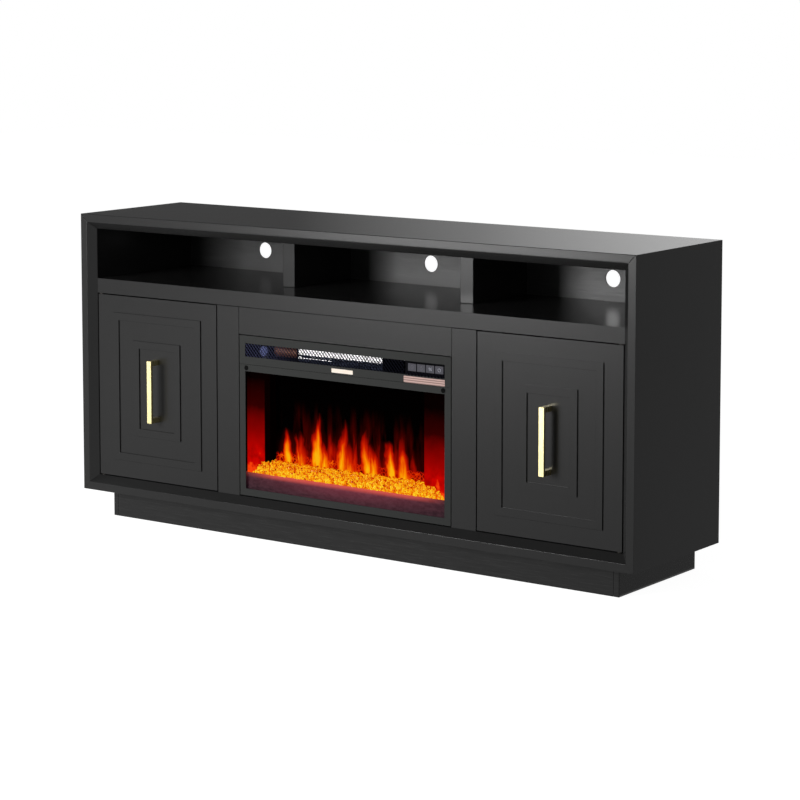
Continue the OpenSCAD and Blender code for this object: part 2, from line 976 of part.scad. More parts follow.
module insert_housing() {
    slot_pitch = 14;
    slot_count = 16;
    slot_w = 6;
    slot_h = 30;
    color([0.2, 0.2, 0.2]) difference() {
        union() {
            sheet_y(house_front, house_back) difference() {
                house_rect(0);
                house_rect(sheet_t);
            }
            sheet_y(house_front, house_front + sheet_t) difference() {
                house_rect(sheet_t / 2);
                house_rect(sheet_t + front_flange_w);
            }
            sheet_y(house_back_in, house_back) house_rect(sheet_t / 2);
            block([-house_in_x - eps, house_front, deck_z], [house_in_x + eps, house_back - eps, deck_top]);
            for (s = [-1, 1])
                block(
                    [s * frame_screw_x - lug_w / 2, house_front, frame_screw_z - lug_w / 4],
                    [s * frame_screw_x + lug_w / 2, lug_back, deck_z + eps]
                );
            rod_x(spindle_y, spindle_z, -house_in_x - eps, -house_in_x + boss_in, boss_r);
            for (s = [-1, 1], y = [house_front + 2 * foot_r, house_back - 2 * foot_r])
                rod_z(s * (house_x - 3 * foot_r), y, floor_z, house_bottom + eps, foot_r);
        }
        rod_x(
            spindle_y, spindle_z, -house_in_x + boss_in - shaft_in - 1, -house_in_x + boss_in + 1,
            spindle_r + run_clear
        );
        for (s = [-1, 1])
            rod_y(
                s * frame_screw_x, frame_screw_z, house_front - 1, lug_back + 1,
                frame_shank_r + press_clear
            );
        rod_y(-cord_x, floor_z + cord_up, house_back_in - 1, house_back + 1, gland_r + press_clear);
        for (i = [0 : slot_count - 1])
            translate([
                heater_x + (i - slot_count / 2) * slot_pitch, house_back_in - 1, blower_z - slot_h / 2
            ]) cube([slot_w, sheet_t + 2, slot_h]);
    }
}

module cord_gland() {
    neck_in = 8;
    flange_t = 3;
    tail_l = 22;
    color([0.05, 0.05, 0.05])
        translate([-cord_x, house_back, floor_z + cord_up]) rotate([-90, 0, 0]) difference() {
            rotate_extrude() polygon([
                [0, -neck_in], [gland_r, -neck_in], [gland_r, 0], [gland_r * 1.6, 0],
                [gland_r * 1.6, flange_t], [gland_r * 0.9, flange_t], [gland_r * 0.65, tail_l],
                [0, tail_l]
            ]);
            translate([0, 0, tail_l - 4]) cylinder(h = 5, r = gland_r * 0.45);
        }
}

// An angle bracket between the housing's side and the back of the stile
module bracket() {
    z0 = (insert_bottom + insert_top) / 2 - bracket_size / 2;
    t = 1.5;
    block([house_x, face_back_y, z0], [house_x + t, face_back_y + bracket_size, z0 + bracket_size]);
    block([house_x, face_back_y, z0], [house_x + bracket_size, face_back_y + t, z0 + bracket_size]);
}

module mounting_brackets() {
    color([0.65, 0.66, 0.68]) bracket();
    color([0.65, 0.66, 0.68]) left_hand() bracket();
}

module flame_screen() {
    color([0.04, 0.03, 0.03]) block(
        [-house_in_x + slip, screen_y, house_floor],
        [house_in_x - slip, screen_back, deck_z - seat_gap]
    );
}

// A bent sheet: its face closes the side of the window, its wing runs back to the flame screen
module reflector() {
    color([0.7, 0.05, 0.02]) translate([0, 0, ledge_top]) linear_extrude(deck_z - ledge_top - seat_gap) {
        rect([reflector_in, reflector_face], [reflector_out, reflector_face + reflector_t]);
        rect([reflector_in, reflector_face], [reflector_in + reflector_t, tray_back]);
    }
}

module left_reflector() {
    left_hand() reflector();
}

module right_reflector() {
    reflector();
}

// A channel with its open side down, from end to end of the housing
module ember_tray() {
    color([0.3, 0.26, 0.28]) bar_x(-house_in_x + slip, house_in_x - slip) difference() {
        rect([tray_front, house_floor], [tray_back, ledge_top]);
        rect([tray_front + sheet_t, house_floor - 1], [tray_back - sheet_t, ledge_top - sheet_t]);
    }
}

function golden(i) = i * 137.508;

// A heap with sloped ends, rough with loose stones
module ember_bed() {
    front = tray_front + bed_clear;
    rear = tray_back - bed_clear;
    out = reflector_out - 2;
    rest = reflector_in - 2;
    turn = reflector_face - bed_clear;
    toe = 6;
    crown = bed_h - 5;
    stone = 9;
    stones = 56;
    color([1, 0.65, 0.1]) intersection() {
        union() {
            sheet_y(front, rear) polygon([
                [-out, ledge_top], [out, ledge_top], [out, ledge_top + toe],
                [out - bed_ramp_right, ledge_top + crown], [-out + bed_ramp_left, ledge_top + crown],
                [-out, ledge_top + toe]
            ]);
            for (i = [1 : stones]) {
                x = (i - 0.5) / stones * 2 * rest - rest;
                translate([x, (front + rear) / 2 + sin(golden(i)) * tray_d / 4, ledge_top + crown - 3])
                    rotate([golden(i), golden(i) / 2, 45]) cube(stone, center = true);
            }
        }
        translate([0, 0, ledge_top]) linear_extrude(bed_h) polygon([
            [-out, front], [out, front], [out, turn], [rest, turn],
            [rest, rear], [-rest, rear], [-rest, turn], [-out, turn]
        ]);
    }
}

// ---- Air heater ----

module duct_outline(r) {
    translate([blower_y, blower_z]) circle(r);
    rect([duct_front, blower_z - r], [blower_y, blower_z + r]);
}

// A rounded channel round the blower wheel, open at its front, on two feet
module blower_housing() {
    foot_w = 20;
    color([0.6, 0.61, 0.63]) difference() {
        union() {
            bar_x(heater_x - end_plate_x, heater_x + end_plate_x) difference() {
                duct_outline(duct_r + duct_t);
                duct_outline(duct_r);
                rect([duct_front - 1, blower_z - duct_r], [duct_front + 1, blower_z + duct_r]);
            }
            for (s = [-1, 1])
                bar_x(
                    heater_x + s * end_plate_x - duct_t / 2, heater_x + s * end_plate_x + duct_t / 2
                ) duct_outline(duct_r + duct_t);
            for (s = [-1, 1])
                bar_x(heater_x + s * heater_w / 3 - foot_w / 2, heater_x + s * heater_w / 3 + foot_w / 2)
                    rect([blower_y - foot_w, deck_top], [blower_y, blower_z - duct_r - eps]);
            rod_x(
                blower_y, blower_z, heater_x + end_plate_x, heater_x + end_plate_x + boss_l, boss_r
            );
        }
        rod_x(
            blower_y, blower_z, heater_x - end_plate_x - duct_t, heater_x - end_plate_x + duct_t,
            shaft_r + run_clear
        );
        rod_x(
            blower_y, blower_z, heater_x + end_plate_x - duct_t, heater_x + end_plate_x + boss_l + 1,
            shaft_r + run_clear
        );
    }
}

// A finned element between two rails
module heater_element() {
    fin_pitch = 6;
    fin_t = 1;
    rail_h = 3;
    half_h = duct_r - slip;
    fins = floor((heater_w - 6) / fin_pitch);
    color([0.8, 0.8, 0.82]) sheet_y(heater_y, heater_y + heater_t) {
        for (s = [-1, 1])
            translate([heater_x, blower_z + s * (half_h - rail_h / 2)])
                square([heater_w - 1, rail_h], center = true);
        for (i = [0 : fins])
            translate([heater_x + (i - fins / 2) * fin_pitch, blower_z])
                square([fin_t, 2 * half_h - rail_h], center = true);
    }
}

module blower_wheel() {
    blade_w = 6;
    blade_t = 0.8;
    blade_tilt = 60;
    color([0.5, 0.5, 0.52]) translate([heater_x, blower_y, blower_z]) rotate([0, 90, 0]) {
        linear_extrude(wheel_l, center = true)
            for (i = [0 : blade_count - 1])
                rotate(i * 360 / blade_count) translate([wheel_r - blade_w / 2 - 0.5, 0])
                    rotate(90 - blade_tilt) square([blade_w, blade_t], center = true);
        for (s = [-1, 1])
            translate([0, 0, s * (wheel_l - disc_t) / 2]) cylinder(h = disc_t, r = wheel_r, center = true);
        translate([0, 0, -end_plate_x - duct_t - shaft_in])
            cylinder(h = end_plate_x + duct_t + shaft_in - wheel_l / 2 + disc_t / 2, r = shaft_r);
        translate([0, 0, wheel_l / 2 - disc_t / 2])
            cylinder(h = end_plate_x + boss_l - wheel_l / 2 + disc_t / 2, r = shaft_r);
    }
}

// A round motor with its winding before it, joined by an iron core
module blower_motor() {
    x1 = heater_x - end_plate_x - duct_t / 2;
    x0 = x1 - motor_l;
    cap_l = 6;
    winding_y = blower_y - winding_out;
    winding_x0 = cutout_x + cutout_r + 7;
    winding_x1 = winding_x0 + winding_l;
    flange_t = 2;
    color([0.45, 0.3, 0.2]) difference() {
        union() {
            rod_x(blower_y, blower_z, x0, x1, motor_r);
            rod_x(blower_y, blower_z, x0 - cap_l, x0 + eps, motor_r / 2);
            block(
                [x0 + motor_l / 4, winding_y, blower_z - winding_r / 2],
                [winding_x1 - motor_l / 8, blower_y, blower_z + winding_r / 2]
            );
            rod_x(winding_y, blower_z, winding_x0, winding_x1, winding_r);
            for (x = [winding_x0, winding_x1 - flange_t])
                rod_x(winding_y, blower_z, x, x + flange_t, winding_r + 1.5);
        }
        rod_x(blower_y, blower_z, x1 - shaft_in - duct_t - 1, x1 + 1, shaft_r + run_clear);
    }
}

// A round cut-out switch on a small bracket that stands on the deck
module thermal_cutout() {
    bracket_w = 12;
    bracket_t = 1.2;
    foot_d = 12;
    body_t = 6;
    z = blower_z;
    color([0.25, 0.32, 0.5]) {
        rod_y(cutout_x, z, cutout_y, cutout_y + body_t, cutout_r);
        block(
            [cutout_x - bracket_w / 2, cutout_y + body_t - eps, deck_top],
            [cutout_x + bracket_w / 2, cutout_y + body_t + bracket_t, z]
        );
        block(
            [cutout_x - bracket_w / 2, cutout_y + body_t - eps, deck_top],
            [cutout_x + bracket_w / 2, cutout_y + body_t + foot_d, deck_top + bracket_t]
        );
    }
}

// ---- Flame maker ----

module flame_spindle() {
    flag_t = 0.8;
    end_gap = 10;
    flag_space = 4;
    span = spindle_left + spindle_right - 2 * shaft_in - 2 * end_gap;
    flag_l = span / flag_count - flag_space;
    color([0.85, 0.86, 0.88]) {
        rod_x(spindle_y, spindle_z, -spindle_left, spindle_right, spindle_r);
        for (i = [0 : flag_count - 1])
            translate([
                -spindle_left + shaft_in + end_gap + (i + 0.5) * span / flag_count, spindle_y, spindle_z
            ]) rotate([golden(i), 0, 0]) translate([0, 0, flag_reach / 2])
                cube([flag_l, flag_t, flag_reach], center = true);
    }
}

module spindle_motor() {
    color([0.75, 0.76, 0.78]) difference() {
        rod_x(spindle_y, spindle_z, house_in_x - spindle_motor_l, house_in_x, spindle_motor_r);
        rod_x(
            spindle_y, spindle_z, house_in_x - spindle_motor_l - 1, spindle_right + 1,
            spindle_r + run_clear
        );
    }
}

// A strip of lamps along y with the board on the housing's floor
module led_board(y) {
    led_pitch = 30;
    half_l = reflector_in;
    leds = floor(2 * half_l / led_pitch);
    block(
        [-half_l, y - led_board_w / 2, house_floor],
        [half_l, y + led_board_w / 2, house_floor + led_board_t]
    );
    for (i = [0 : leds - 1])
        translate([-half_l + (i + 0.5) * led_pitch, y - led_size / 2, house_floor + led_board_t - eps])
            cube([led_size, led_size, led_h + eps]);
}

module led_boards() {
    color([0.9, 0.9, 0.85]) led_board((tray_front + tray_back) / 2);
    color([0.9, 0.9, 0.85]) led_board(spindle_y);
}

top_panel();
bottom_panel();
left_side_panel();
right_side_panel();
shelf_panel();
left_bay_divider();
right_bay_divider();
left_bay_back();
middle_bay_back();
right_bay_back();
lower_back_panel();
left_partition();
right_partition();
left_stile();
right_stile();
header_panel();
left_cupboard_shelf();
right_cupboard_shelf();
shelf_pins();
plinth_front();
plinth_left();
plinth_right();
plinth_cross_boards();
pivot_bushes();
door_catches();
insert_housing();
vent_trim();
window_frame();
frame_screws();
window_glass();
vent_mesh();
key_panel();
heater_element();
blower_housing();
blower_motor();
thermal_cutout();
flame_screen();
left_reflector();
right_reflector();
ember_tray();
ember_bed();
spindle_motor();
led_boards();
control_board();
mounting_brackets();
cord_gland();
blower_wheel();
flame_spindle();
power_key();
heat_key();
flame_key();
timer_key();
left_door_panel();
left_door_mouldings();
left_handle();
left_door_fittings();
right_door_panel();
right_door_mouldings();
right_handle();
right_door_fittings();
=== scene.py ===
"""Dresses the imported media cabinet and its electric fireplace.

Lengths are in metres, X to the right, Y to the back and Z up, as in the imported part.
"""

import math
import random

import bmesh
import bpy
from mathutils import Matrix, Vector


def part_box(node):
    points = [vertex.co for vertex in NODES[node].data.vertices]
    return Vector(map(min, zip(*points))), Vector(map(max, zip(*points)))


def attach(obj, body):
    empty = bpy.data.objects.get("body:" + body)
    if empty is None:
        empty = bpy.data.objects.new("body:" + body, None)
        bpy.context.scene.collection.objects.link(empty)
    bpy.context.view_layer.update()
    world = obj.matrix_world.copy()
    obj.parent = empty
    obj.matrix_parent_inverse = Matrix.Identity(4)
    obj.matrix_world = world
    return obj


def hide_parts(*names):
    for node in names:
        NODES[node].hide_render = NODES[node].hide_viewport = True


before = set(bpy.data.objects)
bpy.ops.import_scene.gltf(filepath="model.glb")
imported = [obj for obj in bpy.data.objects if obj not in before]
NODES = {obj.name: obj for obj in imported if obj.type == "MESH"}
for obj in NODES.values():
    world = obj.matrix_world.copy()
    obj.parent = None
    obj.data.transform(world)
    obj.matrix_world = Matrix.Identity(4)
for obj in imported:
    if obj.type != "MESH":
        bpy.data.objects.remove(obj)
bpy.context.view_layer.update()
MM = 0.001

# ---- Camera and light ----

CAMERA_AT = (3.778, -5.202, 1.447)
CAMERA_TURN = 35.67
CAMERA_TILT = 5.88
CAMERA_LENS = 117.0
CAMERA_SHIFT = -0.21


def add_camera():
    data = bpy.data.cameras.new("camera")
    data.lens = CAMERA_LENS
    data.sensor_width = 36
    data.shift_y = CAMERA_SHIFT
    camera = bpy.data.objects.new("camera", data)
    camera.location = CAMERA_AT
    camera.rotation_euler = (math.radians(90 - CAMERA_TILT), 0, math.radians(CAMERA_TURN))
    bpy.context.scene.collection.objects.link(camera)
    bpy.context.scene.camera = camera


def aim(thing, target):
    thing.rotation_euler = (Vector(target) - thing.location).to_track_quat("-Z", "Y").to_euler()


def add_softbox(name, at, target, width, height, power):
    data = bpy.data.lights.new(name, "AREA")
    data.shape = "RECTANGLE"
    data.size = width
    data.size_y = height
    data.energy = power
    lamp = bpy.data.objects.new(name, data)
    lamp.location = at
    aim(lamp, target)
    lamp.visible_camera = False
    lamp.visible_glossy = False
    bpy.context.scene.collection.objects.link(lamp)


# ---- Shader building ----


def srgb(red, green, blue):
    """A colour given as a screen shows it, 0 to 255, as the linear values that shaders take."""
    scaled = [v / 255 for v in (red, green, blue)]
    return tuple(v / 12.92 if v <= 0.04045 else ((v + 0.055) / 1.055) ** 2.4 for v in scaled) + (1,)


class Graph:
    """The shader nodes of a new material, or of a world that is given."""

    def __init__(self, name, world=None):
        self.owner = world or bpy.data.materials.new(name)
        self.owner.use_nodes = True
        self.tree = self.owner.node_tree
        self.tree.nodes.clear()
        self.output = self.tree.nodes.new("ShaderNodeOutputWorld" if world else "ShaderNodeOutputMaterial")

    def add(self, kind, inputs=None, **settings):
        node = self.tree.nodes.new("ShaderNode" + kind)
        for name, value in settings.items():
            setattr(node, name, value)
        for name, value in (inputs or {}).items():
            self.feed(node.inputs[name], value)
        return node

    def feed(self, socket, value):
        if isinstance(value, bpy.types.NodeSocket):
            self.tree.links.new(value, socket)
        else:
            socket.default_value = value

    def math(self, operation, first, second=0.5, third=0.5, clamp=False):
        values = {0: first, 1: second, 2: third}
        return self.add("Math", values, operation=operation, use_clamp=clamp).outputs[0]

    def place(self, scale=(1, 1, 1)):
        """Object coordinates in metres, stretched by scale."""
        coordinates = self.add("TexCoord").outputs["Object"]
        return self.add("Mapping", {"Vector": coordinates, "Scale": scale}).outputs[0]

    def axis(self, name):
        parts = self.add("SeparateXYZ", {0: self.add("TexCoord").outputs["Object"]})
        return parts.outputs[name]

    def noise(self, scale, detail=3, stretch=(1, 1, 1), roughness=0.5):
        return self.add(
            "TexNoise",
            {"Vector": self.place(stretch), "Scale": scale, "Detail": detail, "Roughness": roughness},
        ).outputs["Fac"]

    def ramp(self, factor, stops):
        node = self.add("ValToRGB", {"Fac": factor})
        elements = node.color_ramp.elements
        while len(elements) < len(stops):
            elements.new(0.5)
        for element, (position, colour) in zip(elements, stops):
            element.position = position
            element.color = colour
        return node.outputs["Color"]

    def spread(self, value, low, high, new_low=0.0, new_high=1.0, smooth=False):
        """Maps value from low..high to new_low..new_high."""
        kind = "SMOOTHSTEP" if smooth else "LINEAR"
        return self.add(
            "MapRange",
            {"Value": value, "From Min": low, "From Max": high, "To Min": new_low, "To Max": new_high},
            interpolation_type=kind,
        ).outputs["Result"]

    def mix(self, factor, first, second):
        node = self.add("Mix", data_type="RGBA")
        self.feed(node.inputs["Factor"], factor)
        self.feed(node.inputs[6], first)
        self.feed(node.inputs[7], second)
        return node.outputs[2]

    def bump(self, height, strength, distance):
        return self.add(
            "Bump", {"Height": height, "Strength": strength, "Distance": distance}
        ).outputs["Normal"]

    def looking_rays(self):
        """1 for rays that look straight, in a mirror or through glass, and 0 for those that carry light."""
        rays = self.add("LightPath").outputs
        straight = self.math("MAXIMUM", rays["Is Camera Ray"], rays["Is Glossy Ray"])
        return self.math("MAXIMUM", straight, rays["Is Transmission Ray"])

    def end_with(self, shader):
        self.tree.links.new(shader.outputs[0], self.output.inputs["Surface"])
        return self.owner

    def finish(self, **inputs):
        """Ends the graph with a principled shader; underscores in the names stand for spaces."""
        named = {name.replace("_", " "): value for name, value in inputs.items()}
        return self.end_with(self.add("BsdfPrincipled", named))


# ---- Materials ----

ALONG_X = (0.05, 1, 1)
ALONG_Z = (1, 1, 0.05)
WHITE = (1, 1, 1, 1)


def painted_board(name, shade, along, grain=0.08, roughness=0.24, gloss=0.18, relief=0.0003, fine=260):
    """Black satin paint over a wood grain that runs along one axis."""
    g = Graph(name)
    fibres = g.noise(fine, 4, along, 0.65)
    clouds = g.noise(5, 2)
    tone = g.math("ADD", g.math("MULTIPLY", fibres, grain), g.math("MULTIPLY", clouds, 0.1))
    level = g.math("ADD", tone, 0.95 - grain / 2)
    colour = g.add("VectorMath", {0: srgb(shade, shade, shade)[:3], "Scale": level}, operation="SCALE")
    return g.finish(
        Base_Color=colour.outputs[0],
        Roughness=g.spread(fibres, 0.3, 0.7, roughness - 0.1 * grain, roughness + 0.1 * grain),
        Specular_IOR_Level=gloss,
        Normal=g.bump(fibres, 0.4 * grain, relief),
    )


def brass():
    """Pale gold plating, brushed along the upright bar of a handle."""
    g = Graph("brushed_gold")
    lines = g.noise(900, 2, (1, 1, 0.02))
    return g.finish(
        Base_Color=g.mix(lines, srgb(222, 208, 150), srgb(232, 220, 168)),
        Metallic=1.0,
        Roughness=g.spread(lines, 0.3, 0.7, 0.24, 0.32),
        Normal=g.bump(lines, 0.15, 0.0001),
    )


def plain_metal(name, colour, roughness, stretch=(1, 1, 1), metallic=1.0):
    """Sheet or turned metal with fine marks."""
    g = Graph(name)
    marks = g.noise(420, 3, stretch)
    dark = tuple(v * 0.7 for v in colour[:3]) + (1,)
    return g.finish(
        Base_Color=g.mix(g.spread(marks, 0.3, 0.7), dark, colour),
        Metallic=metallic,
        Roughness=g.spread(marks, 0.3, 0.7, roughness - 0.06, roughness + 0.08),
        Normal=g.bump(marks, 0.2, 0.0001),
    )


def moulded_plastic(name, colour, roughness=0.45, gloss=0.12):
    """Plastic, or the ink printed on it, with a fine stipple."""
    g = Graph(name)
    stipple = g.noise(1600, 2)
    dark = tuple(v * 0.8 for v in colour[:3]) + (1,)
    return g.finish(
        Base_Color=g.mix(stipple, dark, colour),
        Roughness=g.spread(stipple, 0.3, 0.7, roughness - 0.04, roughness + 0.06),
        Specular_IOR_Level=gloss,
        Normal=g.bump(stipple, 0.2, 0.0001),
    )


def cutout_skin():
    """The blue can of the thermal cut-out above, its dark bracket below."""
    g = Graph("cutout_skin")
    low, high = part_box("thermal_cutout")
    foot = high.z - (high.x - low.x)
    can = g.spread(g.axis("Z"), foot, foot + 1 * MM)
    stipple = g.spread(g.noise(1600, 2), 0.3, 0.7, 0.85, 1.0)
    return g.finish(
        Base_Color=g.mix(g.math("MULTIPLY", can, stipple), srgb(12, 12, 16), srgb(68, 76, 124)),
        Roughness=g.spread(stipple, 0.85, 1.0, 0.4, 0.5),
        Specular_IOR_Level=0.12,
    )


def net_wire():
    """Thin painted wire, bluish where painted light falls at its left end, with painted shade near black at
    the right and a painted shadow under the trim.
    """
    g = Graph("net_wire")
    low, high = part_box("vent_mesh")
    # Painted light and shade: bright at the left end where light falls, dark toward the right, and a painted
    # shadow in the top few millimetres under the trim
    along = g.spread(g.axis("X"), low.x + 0.05, low.x + 0.2, 1.0, 0.1, smooth=True)
    under = g.spread(g.axis("Z"), high.z - 8 * MM, high.z - 4 * MM, 1.0, 0.15)
    marks = g.spread(g.noise(420, 2), 0.3, 0.7, 0.7, 1.0)
    level = g.math("MULTIPLY", g.math("MULTIPLY", along, under), marks)
    return g.finish(
        Base_Color=g.mix(level, srgb(4, 4, 6), srgb(52, 54, 76)),
        Roughness=g.spread(marks, 0.7, 1.0, 0.55, 0.7),
        Specular_IOR_Level=0.01,
    )


def ruled_paper(name, colour, pitch, depth):
    """A blank sticker with faint level bands where print would be."""
    g = Graph(name)
    fibres = g.noise(900, 2)
    bands = g.math("SINE", g.math("MULTIPLY", g.axis("Z"), 2 * math.pi / pitch))
    shade = g.math("MULTIPLY", g.spread(bands, 0.1, 0.5), depth)
    shade = g.math("MULTIPLY_ADD", fibres, 0.1, shade)
    dark = tuple(v * 0.35 for v in colour[:3]) + (1,)
    return g.finish(
        Base_Color=g.mix(shade, colour, dark),
        Roughness=g.spread(fibres, 0.3, 0.7, 0.5, 0.65),
        Specular_IOR_Level=0.1,
        Normal=g.bump(fibres, 0.1, 0.0001),
    )


def powder_coat(name, colour, roughness=0.55, gloss=0.06):
    """Sheet metal under a fine-textured black powder coat."""
    g = Graph(name)
    grains = g.noise(2200, 2)
    dark = tuple(v * 0.75 for v in colour[:3]) + (1,)
    return g.finish(
        Base_Color=g.mix(grains, dark, colour),
        Roughness=g.spread(grains, 0.3, 0.7, roughness - 0.05, roughness + 0.05),
        Specular_IOR_Level=gloss,
        Normal=g.bump(grains, 0.25, 0.0001),
    )


def tinted_glass():
    """Almost clear and faintly smudged; the dark screen behind it makes the window look black."""
    g = Graph("smoked_glass")
    smudges = g.noise(9, 2)
    return g.finish(
        Base_Color=(0.0, 0.0, 0.0, 1),
        Roughness=g.spread(smudges, 0.3, 0.7, 0.02, 0.08),
        Specular_IOR_Level=0.0,
        Alpha=0.02,
    )


def add_flame_group():
    """A node group that gives the brightness of one tongue of flame, from its place and size."""
    group = bpy.data.node_groups.new("tongue", "ShaderNodeTree")
    names = ("X", "Z", "Middle", "Base", "Height", "Width", "Lean", "Heat")
    for name in names:
        group.interface.new_socket(name, in_out="INPUT", socket_type="NodeSocketFloat")
    for name in ("Core", "Halo"):
        group.interface.new_socket(name, in_out="OUTPUT", socket_type="NodeSocketFloat")
    given = group.nodes.new("NodeGroupInput").outputs
    result = group.nodes.new("NodeGroupOutput").inputs

    def math_node(operation, first, second=0.0):
        node = group.nodes.new("ShaderNodeMath")
        node.operation = operation
        for socket, value in zip(node.inputs, (first, second)):
            if isinstance(value, bpy.types.NodeSocket):
                group.links.new(value, socket)
            else:
                socket.default_value = value
        return node.outputs[0]

    # How far up the tongue a point lies, from 0 at its foot to 1 at its tip
    rise = math_node("DIVIDE", math_node("SUBTRACT", given["Z"], given["Base"]), given["Height"])
    rise = math_node("MINIMUM", math_node("MAXIMUM", rise, 0.0), 1.0)
    left_over = math_node("SUBTRACT", 1.0, rise)
    # Half the tongue's width there: it swells above its foot and tapers to its tip
    swell = math_node("POWER", math_node("ADD", rise, 0.12), 0.5)
    taper = math_node("MULTIPLY", swell, math_node("POWER", left_over, 0.65))
    half = math_node("MAXIMUM", math_node("MULTIPLY", taper, given["Width"]), 0.0004)
    # How near the point is to the leaning middle line, from 0 at the tongue's edge to 1
    middle = math_node("ADD", given["Middle"], math_node("MULTIPLY", given["Lean"], rise))
    off = math_node("ABSOLUTE", math_node("SUBTRACT", given["X"], middle))
    inside = math_node("MAXIMUM", math_node("SUBTRACT", 1.0, math_node("DIVIDE", off, half)), 0.0)
    # The light is a little weaker at the foot and dies away toward the tip
    foot = math_node("MINIMUM", math_node("ADD", math_node("MULTIPLY", rise, 2.2), 0.55), 1.0)
    heat = math_node("MULTIPLY", foot, given["Heat"])
    fade = math_node("MULTIPLY", math_node("POWER", left_over, 0.8), heat)
    group.links.new(math_node("MULTIPLY", math_node("POWER", inside, 0.7), fade), result["Core"])
    # A wider and softer light lies round the tongue
    wide = math_node("ADD", math_node("MULTIPLY", half, 2.2), 0.004)
    near = math_node("MAXIMUM", math_node("SUBTRACT", 1.0, math_node("DIVIDE", off, wide)), 0.0)
    group.links.new(math_node("MULTIPLY", math_node("POWER", near, 1.4), fade), result["Halo"])
    return group


# About the highest value of taper in add_flame_group, so a tongue is as wide as TONGUES says
TAPER_PEAK = 1 / 1.9

# Tongues of flame: middle, foot above the ledge, height, half width, lean to the right, heat
TONGUES = (
    (-0.194, 0.024, 0.098, 0.015, -0.006, 1.35),
    (-0.161, 0.030, 0.082, 0.006, -0.014, 0.80),
    (-0.154, 0.012, 0.106, 0.020, -0.006, 0.76),
    (-0.104, 0.014, 0.156, 0.021, -0.006, 1.25),
    (-0.082, 0.014, 0.086, 0.014, -0.003, 1.05),
    (-0.054, 0.014, 0.090, 0.007, -0.003, 0.25),
    (-0.029, 0.012, 0.150, 0.019, -0.001, 1.00),
    (-0.005, 0.010, 0.098, 0.025, -0.006, 0.80),
    (0.014, 0.010, 0.105, 0.008, 0.003, 0.50),
    (0.050, 0.012, 0.132, 0.017, -0.004, 1.15),
    (0.066, 0.010, 0.100, 0.018, 0.000, 1.05),
    (0.122, 0.010, 0.112, 0.015, -0.010, 1.45),
    (0.159, 0.008, 0.096, 0.022, 0.000, 1.12),
    (0.195, 0.020, 0.090, 0.010, -0.006, 0.40),
)


def mirrored_embers(g, z, ledge):
    """Brightness of the bed's dim painted reflection at the foot of the screen: outlines of crystals."""
    cells = g.add(
        "TexVoronoi", {"Vector": g.place(), "Scale": 125.0}, feature="DISTANCE_TO_EDGE"
    ).outputs["Distance"]
    outline = g.spread(cells, 0.02, 0.2, 0.62, 0.2)
    patches = g.spread(g.noise(45, 2), 0.35, 0.65, 0.7, 1.1)
    ragged = g.math("MULTIPLY_ADD", g.math("SUBTRACT", g.noise(70, 2), 0.5), 0.016, z)
    band = g.spread(ragged, ledge + 0.051, ledge + 0.058, 1.0, 0.0)
    sides = g.spread(g.math("ABSOLUTE", g.axis("X")), 0.225, 0.26, 1.0, 0.3)
    return g.math("MULTIPLY", g.math("MULTIPLY", outline, patches), g.math("MULTIPLY", band, sides))


def flame_picture():
    """The dark screen with the flames that the spindle throws on it."""
    g = Graph("flame_picture")
    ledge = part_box("ember_tray")[1].z
    # Bends the tongues to the side, more so higher up
    wander = g.math("SUBTRACT", g.noise(16, 2, (1, 1, 0.45)), 0.5)
    flicker = g.math("SUBTRACT", g.noise(48, 2, (1, 1, 0.55)), 0.5)
    x = g.axis("X")
    lift = g.spread(g.axis("Z"), ledge + 0.02, ledge + 0.14, 0.3, 1.5)
    x = g.math("MULTIPLY_ADD", g.math("MULTIPLY", wander, lift), 0.05, x)
    x = g.math("MULTIPLY_ADD", flicker, 0.02, x)
    z = g.axis("Z")
    # Where tongues overlap, the brighter one counts
    group = add_flame_group()
    core = halo = 0.0
    for middle, foot, height, width, lean, heat in TONGUES:
        node = g.tree.nodes.new("ShaderNodeGroup")
        node.node_tree = group
        values = {
            "X": x, "Z": z, "Middle": middle, "Base": ledge + foot, "Height": height,
            "Width": width / TAPER_PEAK, "Lean": lean, "Heat": heat,
        }
        for name, value in values.items():
            g.feed(node.inputs[name], value)
        core = g.math("MAXIMUM", node.outputs["Core"], core)
        halo = g.math("MAXIMUM", node.outputs["Halo"], halo)
    # Painted glow: a haze of light low between the tongues, thin wisps of light above them, and fine upright
    # streaks through it all
    edge = g.spread(g.math("ABSOLUTE", g.axis("X")), 0.14, 0.25, 1.0, 0.0, smooth=True)
    haze = g.math("MULTIPLY", g.spread(z, ledge + 0.04, ledge + 0.12, 0.14, 0.0, smooth=True), edge)
    streaks = g.spread(g.noise(34, 3, (1, 1, 0.16)), 0.45, 0.75, 0.0, 1.0, smooth=True)
    wisps = g.math("MULTIPLY", streaks, g.spread(z, ledge + 0.08, ledge + 0.2, 0.3, 0.0, smooth=True))
    glow = g.math("MULTIPLY_ADD", halo, 0.24, g.math("MULTIPLY", core, 0.78))
    glow = g.math("ADD", glow, g.math("MULTIPLY", haze, g.spread(flicker, -0.2, 0.2, 0.5, 1.3)))
    glow = g.math("ADD", glow, g.math("MULTIPLY", wisps, edge))
    glow = g.math("MULTIPLY", glow, g.spread(g.noise(150, 3, (1, 1, 0.12)), 0.3, 0.7, 0.82, 1.12))
    glow = g.math("MAXIMUM", glow, mirrored_embers(g, z, ledge))
    colour = g.ramp(glow, (
        (0.0, (0, 0, 0, 1)),
        (0.12, srgb(60, 2, 0)),
        (0.3, srgb(160, 10, 0)),
        (0.5, srgb(214, 36, 0)),
        (0.68, srgb(246, 104, 0)),
        (0.85, srgb(255, 150, 2)),
        (1.0, srgb(255, 182, 14)),
    ))
    return g.finish(
        Base_Color=(0.0004, 0.0002, 0.0002, 1),
        Roughness=0.5,
        Specular_IOR_Level=0.0,
        Emission_Color=colour,
        Emission_Strength=1.0,
    )


